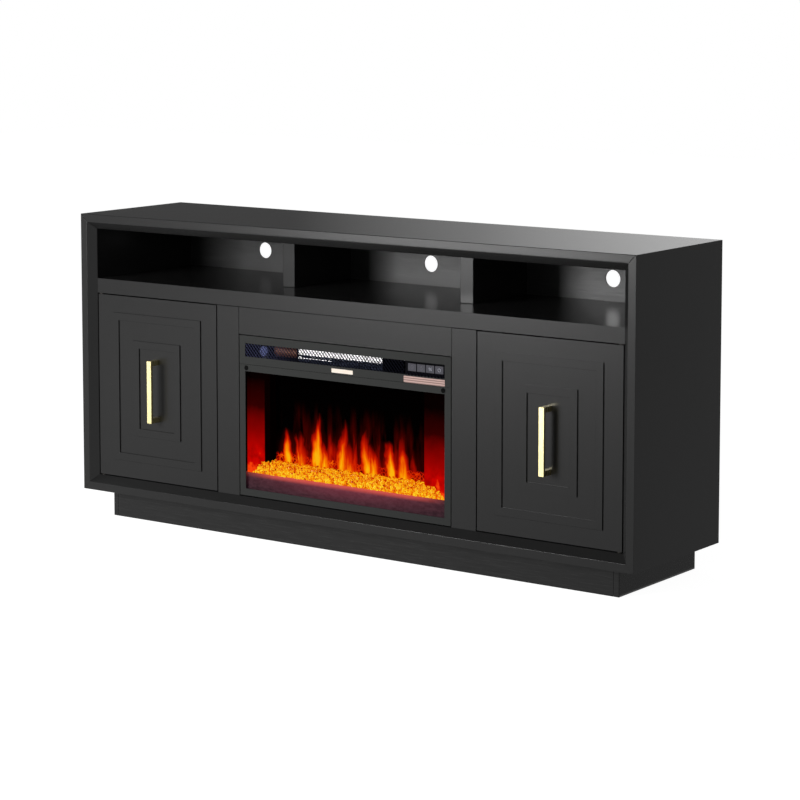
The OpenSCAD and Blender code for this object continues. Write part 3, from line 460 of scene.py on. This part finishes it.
def red_glow(name, reach, dark_end):
    """A side sheet with painted light from the bed below in its emission, dark above reach and within
    dark_end of its inner edge.
    """
    g = Graph(name)
    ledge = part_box("ember_tray")[1].z
    height = g.math("SUBTRACT", g.axis("Z"), ledge)
    cloud = g.math("MULTIPLY", g.math("SUBTRACT", g.noise(30, 3), 0.5), 0.03)
    level = g.spread(g.math("ADD", height, cloud), 0.0, reach, 1.0, 0.0)
    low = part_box("right_reflector")[0]
    wing = g.spread(g.axis("Y"), low.y + 1 * MM, low.y + 3 * MM, 1.0, 0.0)
    inner = g.math("SUBTRACT", g.math("ABSOLUTE", g.axis("X")), low.x)
    lit = g.spread(inner, dark_end - 0.5 * MM, dark_end + 0.5 * MM)
    # Painted light: the red glow is mottled low on the sheet
    glow_mottle = g.spread(g.noise(42, 4, (1, 1, 0.7)), 0.35, 0.65, -0.22, 0.16)
    glow_mottle = g.math("MULTIPLY", glow_mottle, g.spread(height, 0.03, 0.09, 1.0, 0.0, smooth=True))
    level = g.math("MULTIPLY", g.math("ADD", level, glow_mottle), g.math("MULTIPLY", wing, lit))
    colour = g.ramp(level, (
        (0.0, srgb(1, 0, 0)),
        (0.3, srgb(48, 0, 0)),
        (0.6, srgb(146, 1, 0)),
        (0.88, srgb(206, 3, 0)),
        (1.0, srgb(252, 66, 10)),
    ))
    return g.finish(
        Base_Color=srgb(6, 1, 1),
        Roughness=0.35,
        Specular_IOR_Level=0.0,
        Emission_Color=colour,
        Emission_Strength=1.0,
    )


def ledge_metal():
    """The painted tray front, with painted light from the fire in its emission: pink along its upper edge,
    dimmer toward its ends and lower down.
    """
    g = Graph("ledge_metal")
    low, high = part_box("ember_tray")
    height = g.math("SUBTRACT", high.z, g.axis("Z"))
    spots = g.noise(170, 4, (0.5, 1, 1))
    # Painted light: a pink glow along the upper edge, weaker toward the left end and gone at the right end
    edge = g.spread(height, 0.0005, 0.013, 1.0, 0.0, smooth=True)
    edge = g.math("MULTIPLY", edge, g.spread(g.axis("X"), low.x, low.x + 0.12, 0.15, 1.0, smooth=True))
    edge = g.math("MULTIPLY", edge, g.spread(g.axis("X"), high.x - 0.14, high.x, 1.0, 0.0, smooth=True))
    # Painted light that fades toward both ends and downward, over a dim painted glow
    painted_light_falloff = g.spread(g.math("ABSOLUTE", g.axis("X")), 0.05, 0.3, 1.0, 0.2)
    base = g.mix(g.spread(spots, 0.35, 0.65), srgb(34, 20, 24), srgb(58, 36, 42))
    body = g.spread(height, 0.004, 0.036, 1.0, 0.2)
    lit = g.mix(g.math("MULTIPLY", painted_light_falloff, body), srgb(14, 12, 20), srgb(136, 54, 70))
    glow = g.mix(edge, lit, srgb(255, 98, 84))
    return g.finish(
        Base_Color=base,
        Roughness=g.spread(spots, 0.3, 0.7, 0.4, 0.6),
        Specular_IOR_Level=0.03,
        Emission_Color=glow,
        Emission_Strength=0.6,
        Normal=g.bump(spots, 0.3, 0.0003),
    )


def ember_glass():
    """Crystals with painted light from below in their emission: bright at their edges as painted highlights,
    deeper orange where they face the eye.
    """
    g = Graph("ember_glass")
    low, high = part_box("ember_bed")
    chance = g.add("NewGeometry").outputs["Random Per Island"]
    back = g.spread(g.axis("Y"), low.y, high.y)
    # Painted shade: crystals toward the back of the bed are dimmer
    fade = g.spread(back, 0.55, 0.85, 1.0, 0.55)
    # Painted light: a glow level for each crystal at random, brighter low down; heat here names that painted
    # glow
    heat = g.spread(g.math("POWER", chance, 0.6), 0.0, 1.0, 0.1, 1.05)
    heat = g.math("MULTIPLY", heat, g.spread(g.axis("Z"), low.z + 0.01, high.z - 0.01, 1.1, 0.65))
    # Painted highlights where the crystals turn away from the eye at their edges, and fine painted glints
    facing = g.add("LayerWeight", {"Blend": 0.4}).outputs["Facing"]
    rim = g.spread(facing, 0.2, 0.6, 0.0, 0.5)
    sparkle = g.noise(520, 2)
    level = g.math("ADD", rim, g.math("MULTIPLY_ADD", heat, 0.58, 0.08))
    level = g.math("MULTIPLY_ADD", g.math("SUBTRACT", sparkle, 0.5), 1.1, level)
    level = g.math("MULTIPLY", level, fade)
    colour = g.ramp(level, (
        (0.0, srgb(70, 2, 0)),
        (0.2, srgb(190, 26, 2)),
        (0.42, srgb(244, 112, 0)),
        (0.72, srgb(255, 186, 2)),
        (1.0, srgb(255, 232, 56)),
    ))
    return g.finish(
        Base_Color=srgb(30, 8, 0),
        Roughness=0.2,
        Specular_IOR_Level=0.05,
        Emission_Color=colour,
        Emission_Strength=1.0,
    )


def ember_core():
    """Deep orange light from below the crystals, brightest at the foot."""
    g = Graph("ember_core")
    low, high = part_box("ember_bed")
    cloud = g.noise(160, 3)
    height = g.spread(g.axis("Z"), low.z, high.z, 0.9, 0.35)
    level = g.math("MULTIPLY", height, g.spread(cloud, 0.3, 0.7, 0.75, 1.2))
    return g.finish(
        Base_Color=srgb(40, 8, 0),
        Roughness=0.6,
        Specular_IOR_Level=0.0,
        Emission_Color=g.ramp(level, (
            (0.2, srgb(120, 8, 0)),
            (0.6, srgb(214, 58, 0)),
            (1.0, srgb(250, 120, 0)),
        )),
        Emission_Strength=1.0,
    )


def studio_floor():
    """White for every ray that looks at it, with a faint shadow; plain matt grey for the light."""
    g = Graph("studio_floor")
    matt = g.add("BsdfDiffuse", {"Color": (0.3, 0.3, 0.3, 1)})
    white = g.add("Emission", {"Color": WHITE, "Strength": 0.96})
    lit = g.add("AddShader", {0: matt.outputs[0], 1: white.outputs[0]})
    return g.end_with(g.add("MixShader", {0: g.looking_rays(), 1: matt.outputs[0], 2: lit.outputs[0]}))


def add_world(strength):
    """White surroundings for every ray that looks, and a dim even light for the rest."""
    world = bpy.data.worlds.new("studio")
    bpy.context.scene.world = world
    g = Graph("studio", world)
    dim = g.add("Background", {"Color": WHITE, "Strength": strength})
    white = g.add("Background", {"Color": WHITE, "Strength": 1.0})
    g.end_with(g.add("MixShader", {0: g.looking_rays(), 1: dim.outputs[0], 2: white.outputs[0]}))


# ---- Studio ----


def mesh_object(name, verts, faces, material):
    mesh = bpy.data.meshes.new(name)
    mesh.from_pydata(verts, [], faces)
    mesh.validate()
    mesh.materials.append(material)
    thing = bpy.data.objects.new(name, mesh)
    bpy.context.scene.collection.objects.link(thing)
    return thing


def upright_corners(left, right, place, bottom, top):
    """Corners of an upright sheet that faces the front, with place along Y."""
    return [(left, place, bottom), (right, place, bottom), (right, place, top), (left, place, top)]


def level_corners(left, right, front, back, height):
    """Corners of a level sheet."""
    return [(left, front, height), (right, front, height), (right, back, height), (left, back, height)]


def add_floor():
    size = 12
    corners = level_corners(-size, size, -size, size, 0)
    floor = mesh_object("floor", corners, [(0, 1, 2, 3)], studio_floor())


def add_card(name, corners, stops):
    """A studio card that only reflections see; stops give its brightness at places along X."""
    g = Graph(name)
    first, last = stops[0][0], stops[-1][0]
    peak = max(glow for x, glow in stops)
    shades = [((x - first) / (last - first), (glow / peak,) * 3 + (1,)) for x, glow in stops]
    colour = g.ramp(g.spread(g.axis("X"), first, last), shades)
    shine = g.end_with(g.add("Emission", {"Color": colour, "Strength": peak}))
    card = mesh_object(name, corners, [(0, 1, 2, 3)], shine)
    card.visible_camera = False
    card.visible_diffuse = False
    card.visible_transmission = False
    card.visible_shadow = False


def set_studio():
    """Camera, floor and surroundings, two soft lamps, and the cards that shine in the black paint."""
    add_camera()
    add_floor()
    add_world(0.16)
    add_softbox("key", at=(-1.7, -3.4, 1.2), target=(0, 0, 0.6), width=1.4, height=1.6, power=150)
    add_softbox("fill", at=(2.8, -3.0, 2.0), target=(0, 0, 0.4), width=2.0, height=2.0, power=12)
    key_corners = upright_corners(left=-2.42, right=-1.02, place=-3.4, bottom=0.42, top=2.0)
    add_card("key_card", key_corners, ((0, 28), (1, 28)))
    back_corners = upright_corners(left=-7, right=5, place=2.2, bottom=0.02, top=4)
    back_tones = ((-3, 0.13), (-2, 0.13), (-1.2, 0.5), (-0.3, 1.25), (0.3, 1.25), (1.2, 0.4))
    add_card("back_card", back_corners, back_tones)
    roof_corners = level_corners(left=-4, right=4, front=-4, back=2.2, height=3.2)
    add_card("roof_card", roof_corners, ((0, 0.1), (1, 0.1)))
    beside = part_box("plinth_right")[1].x + 1 * MM
    floor_corners = level_corners(left=beside, right=6, front=-2, back=6, height=0.004)
    add_card("floor_card", floor_corners, ((0, 0.4), (1, 0.4)))


# ---- Pieces ----


def new_piece(name, verts, faces, material, body, stands_for=()):
    """A mesh piece that rides on a body, with the material it is given."""
    piece = mesh_object(name, verts, faces, material)
    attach(piece, body)
    for node in stands_for:
        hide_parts(node)


def dress(node, material):
    """Gives a CAD node its material through its object's slots."""
    piece = NODES[node]
    for slot in piece.material_slots:
        slot.link = "OBJECT"
        slot.material = material


def soften(node, body, material, radius, segments=2):
    """Shows a CAD node with its sharp edges eased, as paint and plating leave them."""
    source = NODES[node]
    mesh = bpy.data.meshes.new(node + "_eased")
    work = bmesh.new()
    work.from_mesh(source.data)
    bmesh.ops.remove_doubles(work, verts=work.verts, dist=1e-6)
    bmesh.ops.dissolve_limit(work, angle_limit=math.radians(1), verts=work.verts, edges=work.edges)
    work.to_mesh(mesh)
    work.free()
    piece = bpy.data.objects.new(node + "_eased", mesh)
    bpy.context.scene.collection.objects.link(piece)
    mesh.materials.clear()
    mesh.materials.append(material)
    ease = piece.modifiers.new("eased_edges", "BEVEL")
    ease.width = radius
    ease.segments = segments
    ease.limit_method = "ANGLE"
    ease.angle_limit = math.radians(30)
    mesh.shade_flat()
    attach(piece, body)
    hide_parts(node)


def heap_height(x, back, low, high):
    """Height of the ember bed above the ledge at x, where back runs from 0 in front to 1 behind.

    The heap falls away to both ends, rises a little to the back and is slightly lower at the right.
    """
    slope = 36 * MM
    left_start = low.x + 18 * MM
    right_start = high.x - 8 * MM
    ends = max(0, min(1, (x - left_start) / slope, (right_start - x) / slope))
    settled = 1.04 - 0.06 * (x - low.x) / (high.x - low.x)
    return (high.z - low.z) * (0.03 + 0.73 * ends ** 0.8 + 0.04 * back) * settled


def crystal_shape(dice):
    """Corners and faces of one rough crystal about 2 units across."""
    shape = bmesh.new()
    bmesh.ops.create_icosphere(shape, subdivisions=1, radius=1)
    squash = Vector([dice.uniform(0.7, 1.15) for _ in range(3)])
    corners = [v.co * squash * dice.uniform(0.78, 1.12) for v in shape.verts]
    faces = [[v.index for v in face.verts] for face in shape.faces]
    shape.free()
    return corners, faces


def add_crystals(material):
    """The ember bed as loose glass crystals, packed in rows and turned at random.

    Only the front row reaches down to the ledge, since behind it only the crust shows.
    Toward the ends the crystals stop at the faces of the side reflectors.
    """
    low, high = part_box("ember_bed")
    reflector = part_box("right_reflector")[0]
    dice = random.Random(7)
    shapes = [crystal_shape(dice) for _ in range(12)]
    step = 5.8 * MM
    inset = 4 * MM
    spare = 2 * MM
    foot = 3 * MM
    crust = 14 * MM
    verts, faces = [], []
    rows = int((high.y - low.y - inset - spare) / step) + 1
    columns = int((high.x - low.x - inset - spare) / step) + 1
    for row in range(rows):
        for column in range(columns):
            x = low.x + inset + column * step + dice.uniform(-2, 2) * MM
            y = low.y + inset + row * step + dice.uniform(-1.5, 1.5) * MM
            rear = high.y if abs(x) < reflector.x else reflector.y
            if y > rear:
                continue
            edge = reflector.x if y > reflector.y - 5 * MM and rear == high.y else high.x
            top = heap_height(x, (y - low.y) / (high.y - low.y), low, high) * dice.uniform(0.88, 1.04)
            z = foot if row == 0 else max(foot, top - crust)
            while z < top - 2 * MM:
                size = min(dice.uniform(3.0, 5.2) * MM, (rear - low.y) / 2)
                centre = Vector((x + dice.uniform(-2, 2) * MM, y, low.z + z))
                centre.x = min(max(centre.x, size - edge), edge - size)
                centre.y = min(max(centre.y, low.y + size), rear - size)
                centre.z = min(centre.z, high.z - size)
                angle = dice.uniform(0, 6.3)
                axis = Vector([dice.uniform(-1, 1) for _ in range(3)]).normalized()
                turn = Matrix.Rotation(angle, 3, axis)
                corners, sides = dice.choice(shapes)
                first = len(verts)
                verts.extend(turn @ corner * size + centre for corner in corners)
                faces.extend([first + i for i in side] for side in sides)
                z += size
    new_piece("ember_crystals", verts, faces, material, "cabinet", ["ember_bed"])


def add_ember_core(material):
    """The glow deep in the ember bed, seen between the crystals."""
    low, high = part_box("ember_bed")
    front = low.y + 4.4 * MM
    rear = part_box("right_reflector")[0].y - 0.3 * MM
    columns = 80
    verts, faces = [], []
    for i in range(columns + 1):
        x = low.x + (high.x - low.x) * i / columns
        top = low.z + max(0.5 * MM, heap_height(x, 0, low, high) - 4 * MM)
        verts.extend([(x, front, low.z), (x, front, top), (x, rear, top)])
    for i in range(columns):
        first = 3 * i
        faces.append((first, first + 3, first + 4, first + 1))
        faces.append((first + 1, first + 4, first + 5, first + 2))
    new_piece("ember_core", verts, faces, material, "cabinet")


def add_bars(name, bars, material, body, stands_for=()):
    """One piece made of straight bars, each given by its two opposite corners."""
    verts, faces = [], []
    for low, high in bars:
        first = len(verts)
        for x in (low[0], high[0]):
            for y in (low[1], high[1]):
                verts.extend([(x, y, low[2]), (x, y, high[2])])
        sides = ((0, 1, 3, 2), (4, 6, 7, 5), (0, 4, 5, 1), (2, 3, 7, 6), (0, 2, 6, 4), (1, 5, 7, 3))
        faces.extend(tuple(first + i for i in side) for side in sides)
    new_piece(name, verts, faces, material, body, stands_for)


def slanted_wires(left, right, bottom, top, pitch, lean):
    """Ends of parallel wires that cross a rectangle in the X, Z plane, moving lean along X per unit of Z."""
    ends = []
    reach = lean * (top - bottom)
    start = left - max(0, reach)
    while start < right - min(0, reach):
        first = [start, bottom]
        last = [start + reach, top]
        for point, other in ((first, last), (last, first)):
            for limit in (left, right):
                beyond = point[0] < limit if limit == left else point[0] > limit
                if beyond:
                    share = (limit - point[0]) / (other[0] - point[0])
                    point[1] += (other[1] - point[1]) * share
                    point[0] = limit
        # A wire that only clips a corner of the rectangle is left out
        if abs(last[1] - first[1]) > pitch / 4:
            ends.append((tuple(first), tuple(last)))
        start += pitch
    return ends


def add_wire_net(name, left, right, bottom, top, front, material, stands_for=()):
    """Fine diagonal netting, two layers of slanted wires, one behind the other."""
    wire = 1 * MM
    pitch = 9.6 * MM
    verts, faces = [], []
    for lean, y, broad in ((-0.9, front, 2.6), (0.9, front + wire, 1.0)):
        side = wire / 2 * broad
        back = y + wire
        for ends in slanted_wires(left + 2 * wire, right - 2 * wire, bottom, top, pitch, lean):
            at = len(verts)
            for x, z in ends:
                verts.extend([(x - side, y, z), (x + side, y, z), (x + side, back, z), (x - side, back, z)])
            for i in range(4):
                after = (i + 1) % 4
                faces.append((at + i, at + after, at + 4 + after, at + 4 + i))
            faces.append((at + 3, at + 2, at + 1, at))
            faces.append((at + 4, at + 5, at + 6, at + 7))
    new_piece(name, verts, faces, material, "cabinet", stands_for)


def add_netting(material):
    """The net behind the air outlet, and the strip of it that shows below the keys."""
    low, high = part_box("vent_mesh")
    front = (low.y + high.y) / 2 - 1.2 * MM
    add_wire_net("outlet_net", low.x, high.x, low.z, high.z, front, material, ["vent_mesh"])
    panel_low, panel_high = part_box("key_panel")
    right = panel_high.x - 7 * MM
    bottom = low.z + 5 * MM
    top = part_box("timer_key")[0].z - 0.6 * MM
    front = panel_low.y - 2.6 * MM
    add_wire_net("key_net", panel_low.x, right, bottom, top, front, material)


def add_fins(name, left, right, front, back, foot, head, material):
    """A sheet folded to and fro in plan, as the fins of an air heater are."""
    pitch = 4.4 * MM
    folds = int((right - left) / pitch)
    verts, faces = [], []
    for i in range(folds + 1):
        x = left + (right - left) * i / folds
        y = back if i % 2 else front
        verts.extend([(x, y, foot), (x, y, head)])
    for i in range(folds):
        faces.append((2 * i, 2 * i + 2, 2 * i + 3, 2 * i + 1))
    new_piece(name, verts, faces, material, "cabinet")


def add_heater(bright, dark):
    """Two rows of folded fins, the upper one bright and the lower one dark as painted shade, held by flat
    bars.
    """
    low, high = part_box("heater_element")
    bar = 2.4 * MM
    split = (low.z + high.z) / 2 - 1 * MM
    bars = [
        ((low.x, low.y, low.z), (high.x, high.y, low.z + bar)),
        ((low.x, low.y, split - bar), (high.x, high.y, split)),
        ((low.x, low.y, high.z - bar), (high.x, high.y, high.z)),
    ]
    add_bars("heater_frame", bars, dark, "cabinet", ["heater_element"])
    lead_front = low.y - 1 * MM
    lead_end = 0.4 * high.x + 0.6 * low.x
    lead = [
        ((low.x, lead_front, split - 8.2 * MM), (lead_end, low.y, split - 7 * MM)),
        ((low.x, lead_front, split - 10 * MM), (low.x + 9 * MM, low.y, split - 4 * MM)),
    ]
    add_bars("heater_lead", lead, bright, "cabinet")
    front = low.y + 0.4 * MM
    back = low.y + 1.3 * MM
    add_fins("upper_fins", low.x, high.x, front, back, split, high.z - bar, bright)
    add_fins("lower_fins", low.x, high.x, front, back, low.z + bar, split - 2 * bar, dark)


def add_plate(name, middle, width, height, front, material):
    """A blank sticker with rounded corners, flat on the trim."""
    thickness = 0.3 * MM
    round_off = 1.5 * MM
    rim = []
    for corner in range(4):
        for step in range(4):
            turn = math.radians(90 * corner + 30 * step)
            side_x = 1 if corner in (0, 3) else -1
            side_z = 1 if corner in (0, 1) else -1
            rim.append((
                middle[0] + side_x * (width / 2 - round_off) + round_off * math.cos(turn),
                middle[1] + side_z * (height / 2 - round_off) + round_off * math.sin(turn),
            ))
    count = len(rim)
    verts = [(x, front - thickness, z) for x, z in rim] + [(x, front, z) for x, z in rim]
    faces = [tuple(range(count)), tuple(range(2 * count - 1, count - 1, -1))]
    faces.extend((i, i + count, (i + 1) % count + count, (i + 1) % count) for i in range(count))
    new_piece(name, verts, faces, material, "cabinet")


def arc(centre, radius, start, stop, steps=14):
    """Points on a round stretch in the X, Z plane; angles in degrees from +X."""
    turns = [math.radians(start + (stop - start) * i / steps) for i in range(steps + 1)]
    return [(centre[0] + radius * math.cos(t), centre[1] + radius * math.sin(t)) for t in turns]


def stroke_strips(line, half):
    """The four corners of a flat strip along each stretch of a line, half as wide to each side."""
    points = [Vector(point) for point in line]
    for start, stop in zip(points, points[1:]):
        along = (stop - start).normalized()
        side = Vector((-along.y, along.x)) * half
        yield start + side, start - side, stop - side, stop + side


def key_marks(which):
    """Strokes of a plain symbol about 10 mm across, round the middle of a key, in millimetres."""
    if which == "power":
        return [arc((0, 0), 4, 120, 420), [(0, 1), (0, 5)]]
    if which == "heat":
        wave = [(0.9 * math.sin(i * 0.9), -4 + i) for i in range(9)]
        return [[(x + shift, z) for x, z in wave] for shift in (-3, 0, 3)]
    if which == "flame":
        return [arc((0, -1.5), 3, 160, 380) + [(1.6, 2.6), (0.4, 5)] + [(-0.6, 2.2), (-2.8, -0.4)]]
    return [arc((0, 0), 4, 0, 360, 20), [(0, 2.6), (0, 0), (2, -1)]]


def add_key_symbol(which, material):
    """A printed symbol on the face of one key; it rides with the key."""
    low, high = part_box(which + "_key")
    middle_x = (low.x + high.x) / 2
    middle_z = (low.z + high.z) / 2
    front = low.y - 0.06 * MM
    verts, faces = [], []
    for stroke in key_marks(which):
        line = [(x * MM + middle_x, z * MM + middle_z) for x, z in stroke]
        for corners in stroke_strips(line, 0.35 * MM):
            first = len(verts)
            verts.extend((corner.x, front, corner.y) for corner in corners)
            faces.append((first, first + 1, first + 2, first + 3))
    new_piece(which + "_symbol", verts, faces, material, which + "_button")


def add_cutout_grille(material):
    """Rim and spokes on the face of the thermal cut-out."""
    low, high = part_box("thermal_cutout")
    radius = (high.x - low.x) / 2
    centre = ((low.x + high.x) / 2, high.z - radius)
    front = low.y - 0.6 * MM
    verts, faces = [], []
    hub = 0.2 * radius
    rim = 0.93 * radius
    strokes = [arc(centre, ring, 0, 360, 32) for ring in (rim, 0.55 * radius, hub)]
    for i in range(8):
        turn = math.radians(45 * i + 10)
        away = (math.cos(turn), math.sin(turn))
        strokes.append([(centre[0] + reach * away[0], centre[1] + reach * away[1]) for reach in (hub, rim)])
    for stroke in strokes:
        for corners in stroke_strips(stroke, 0.5 * MM):
            first = len(verts)
            for depth in (front, low.y):
                verts.extend((corner.x, depth, corner.y) for corner in corners)
            sides = ((0, 1, 2, 3), (0, 4, 5, 1), (1, 5, 6, 2), (2, 6, 7, 3), (3, 7, 4, 0))
            faces.extend(tuple(first + i for i in side) for side in sides)
    new_piece("cutout_grille", verts, faces, material, "cabinet")


# ---- Dressing the part ----


def dress_cabinet():
    """Black paint on every board, and pale gold on the handles."""
    case_paint = painted_board("case_paint", 31, ALONG_X)
    side_paint = painted_board("side_paint", 31, ALONG_Z)
    front_paint = painted_board("front_paint", 31, ALONG_Z)
    inner_paint = painted_board("inner_paint", 30, ALONG_X)
    back_paint = painted_board(
        "back_paint", 33, (0.03, 1, 1), grain=0.9, roughness=0.39, gloss=0.27, relief=0.0006, fine=420
    )
    plinth_paint = painted_board("plinth_paint", 30, ALONG_X, grain=0.8)
    gold = brass()
    eased_boards = {
        case_paint: ("top_panel", "bottom_panel"),
        side_paint: ("left_side_panel", "right_side_panel"),
        front_paint: ("left_stile", "right_stile", "header_panel"),
        inner_paint: ("left_bay_divider", "right_bay_divider", "shelf_panel"),
        plinth_paint: ("plinth_front", "plinth_left", "plinth_right"),
    }
    for paint, nodes in eased_boards.items():
        for node in nodes:
            soften(node, "cabinet", paint, 1.2 * MM)
    for side in ("left", "right"):
        door = side + "_door"
        soften(door + "_panel", door, front_paint, 0.8 * MM)
        soften(door + "_mouldings", door, front_paint, 0.4 * MM, segments=1)
        soften(side + "_handle", door, gold, 0.3 * MM)
        dress(side + "_partition", inner_paint)
        dress(side + "_cupboard_shelf", inner_paint)
        dress(side + "_bay_back", back_paint)
        dress(door + "_fittings", plain_metal("steel", srgb(190, 190, 195), 0.3))
    dress("middle_bay_back", back_paint)
    dress("lower_back_panel", back_paint)
    dress("plinth_cross_boards", plinth_paint)


def dress_window():
    """The fireplace's coated front and, behind its glass, the fire."""
    trim = powder_coat("trim_coat", srgb(48, 49, 48))
    dress("vent_trim", trim)
    dress("window_frame", trim)
    dress("insert_housing", powder_coat("housing_coat", srgb(22, 21, 21), gloss=0.02))
    dress("frame_screws", powder_coat("screw_coat", srgb(1, 1, 1), roughness=0.8))
    dress("window_glass", tinted_glass())
    dress("flame_screen", flame_picture())
    dress("left_reflector", red_glow("left_glow", reach=0.246, dark_end=17.5 * MM))
    dress("right_reflector", red_glow("right_glow", reach=0.222, dark_end=0))
    dress("ember_tray", ledge_metal())
    add_crystals(ember_glass())
    add_ember_core(ember_core())


def dress_outlet():
    """The net of the air outlet and what shows through it: heater, motor, cut-out and duct."""
    aluminium = plain_metal("heater_aluminium", srgb(255, 252, 254), 0.4)
    add_netting(net_wire())
    # The heater's lower fins take a dark copy of the metal as painted shade
    add_heater(aluminium, plain_metal("heater_shade", srgb(34, 38, 50), 0.45))
    copper = plain_metal("motor_copper", srgb(108, 64, 44), 0.6, stretch=(8, 0.3, 0.3), metallic=0.3)
    dress("blower_motor", copper)
    dress("thermal_cutout", cutout_skin())
    add_cutout_grille(moulded_plastic("cutout_rim", srgb(118, 128, 182)))
    dress("key_panel", moulded_plastic("panel_black", srgb(5, 5, 8), roughness=0.6, gloss=0.02))
    dress("mounting_brackets", plain_metal("galvanised", srgb(170, 174, 178), 0.42))
    dress("blower_housing", powder_coat("duct_coat", srgb(22, 17, 15), gloss=0.0))


def dress_hidden_parts():
    """What works inside the case and doesn't show from the front."""
    zinc = plain_metal("zinc", srgb(196, 196, 200), 0.34)
    for node in ("blower_wheel", "flame_spindle", "shelf_pins", "spindle_motor"):
        dress(node, zinc)
    dress("pivot_bushes", plain_metal("turned_brass", srgb(24, 20, 14), 0.7, metallic=0.4))
    dress("door_catches", moulded_plastic("catch_black", srgb(34, 34, 36)))
    dress("cord_gland", moulded_plastic("gland_black", srgb(24, 24, 25), roughness=0.6))
    green_board = moulded_plastic("green_board", srgb(24, 84, 46), roughness=0.35)
    dress("led_boards", green_board)
    dress("control_board", green_board)


def dress_keys():
    """Grey keys; the symbols of the two at the left are faint, as in the photograph."""
    key_skin = moulded_plastic("key_skin", srgb(63, 62, 70), roughness=0.35)
    clear_ink = moulded_plastic("key_ink", srgb(164, 166, 176))
    faint_ink = moulded_plastic("faint_ink", srgb(92, 90, 98))
    inks = {"power": clear_ink, "heat": clear_ink, "flame": faint_ink, "timer": faint_ink}
    for which, ink in inks.items():
        dress(which + "_key", key_skin)
        add_key_symbol(which, ink)


def add_stickers():
    """Two bare stickers on the window's frame, one in its middle and one below the keys."""
    low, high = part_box("window_frame")
    middle = (low.x + high.x) / 2
    pale = ruled_paper("pale_paper", srgb(246, 232, 218), pitch=2.4 * MM, depth=0.0)
    spot = (middle, low.z + 343.5 * MM)
    add_plate("middle_sticker", spot, width=65 * MM, height=10 * MM, front=low.y, material=pale)
    ruled = ruled_paper("ruled_paper", srgb(196, 164, 156), pitch=5.4 * MM, depth=0.8)
    spot = (middle + 245 * MM, low.z + 342.75 * MM)
    add_plate("side_sticker", spot, width=120 * MM, height=16 * MM, front=low.y, material=ruled)


set_studio()
dress_cabinet()
dress_window()
dress_outlet()
dress_hidden_parts()
dress_keys()
add_stickers()

bpy.context.scene.view_settings.view_transform = "Standard"
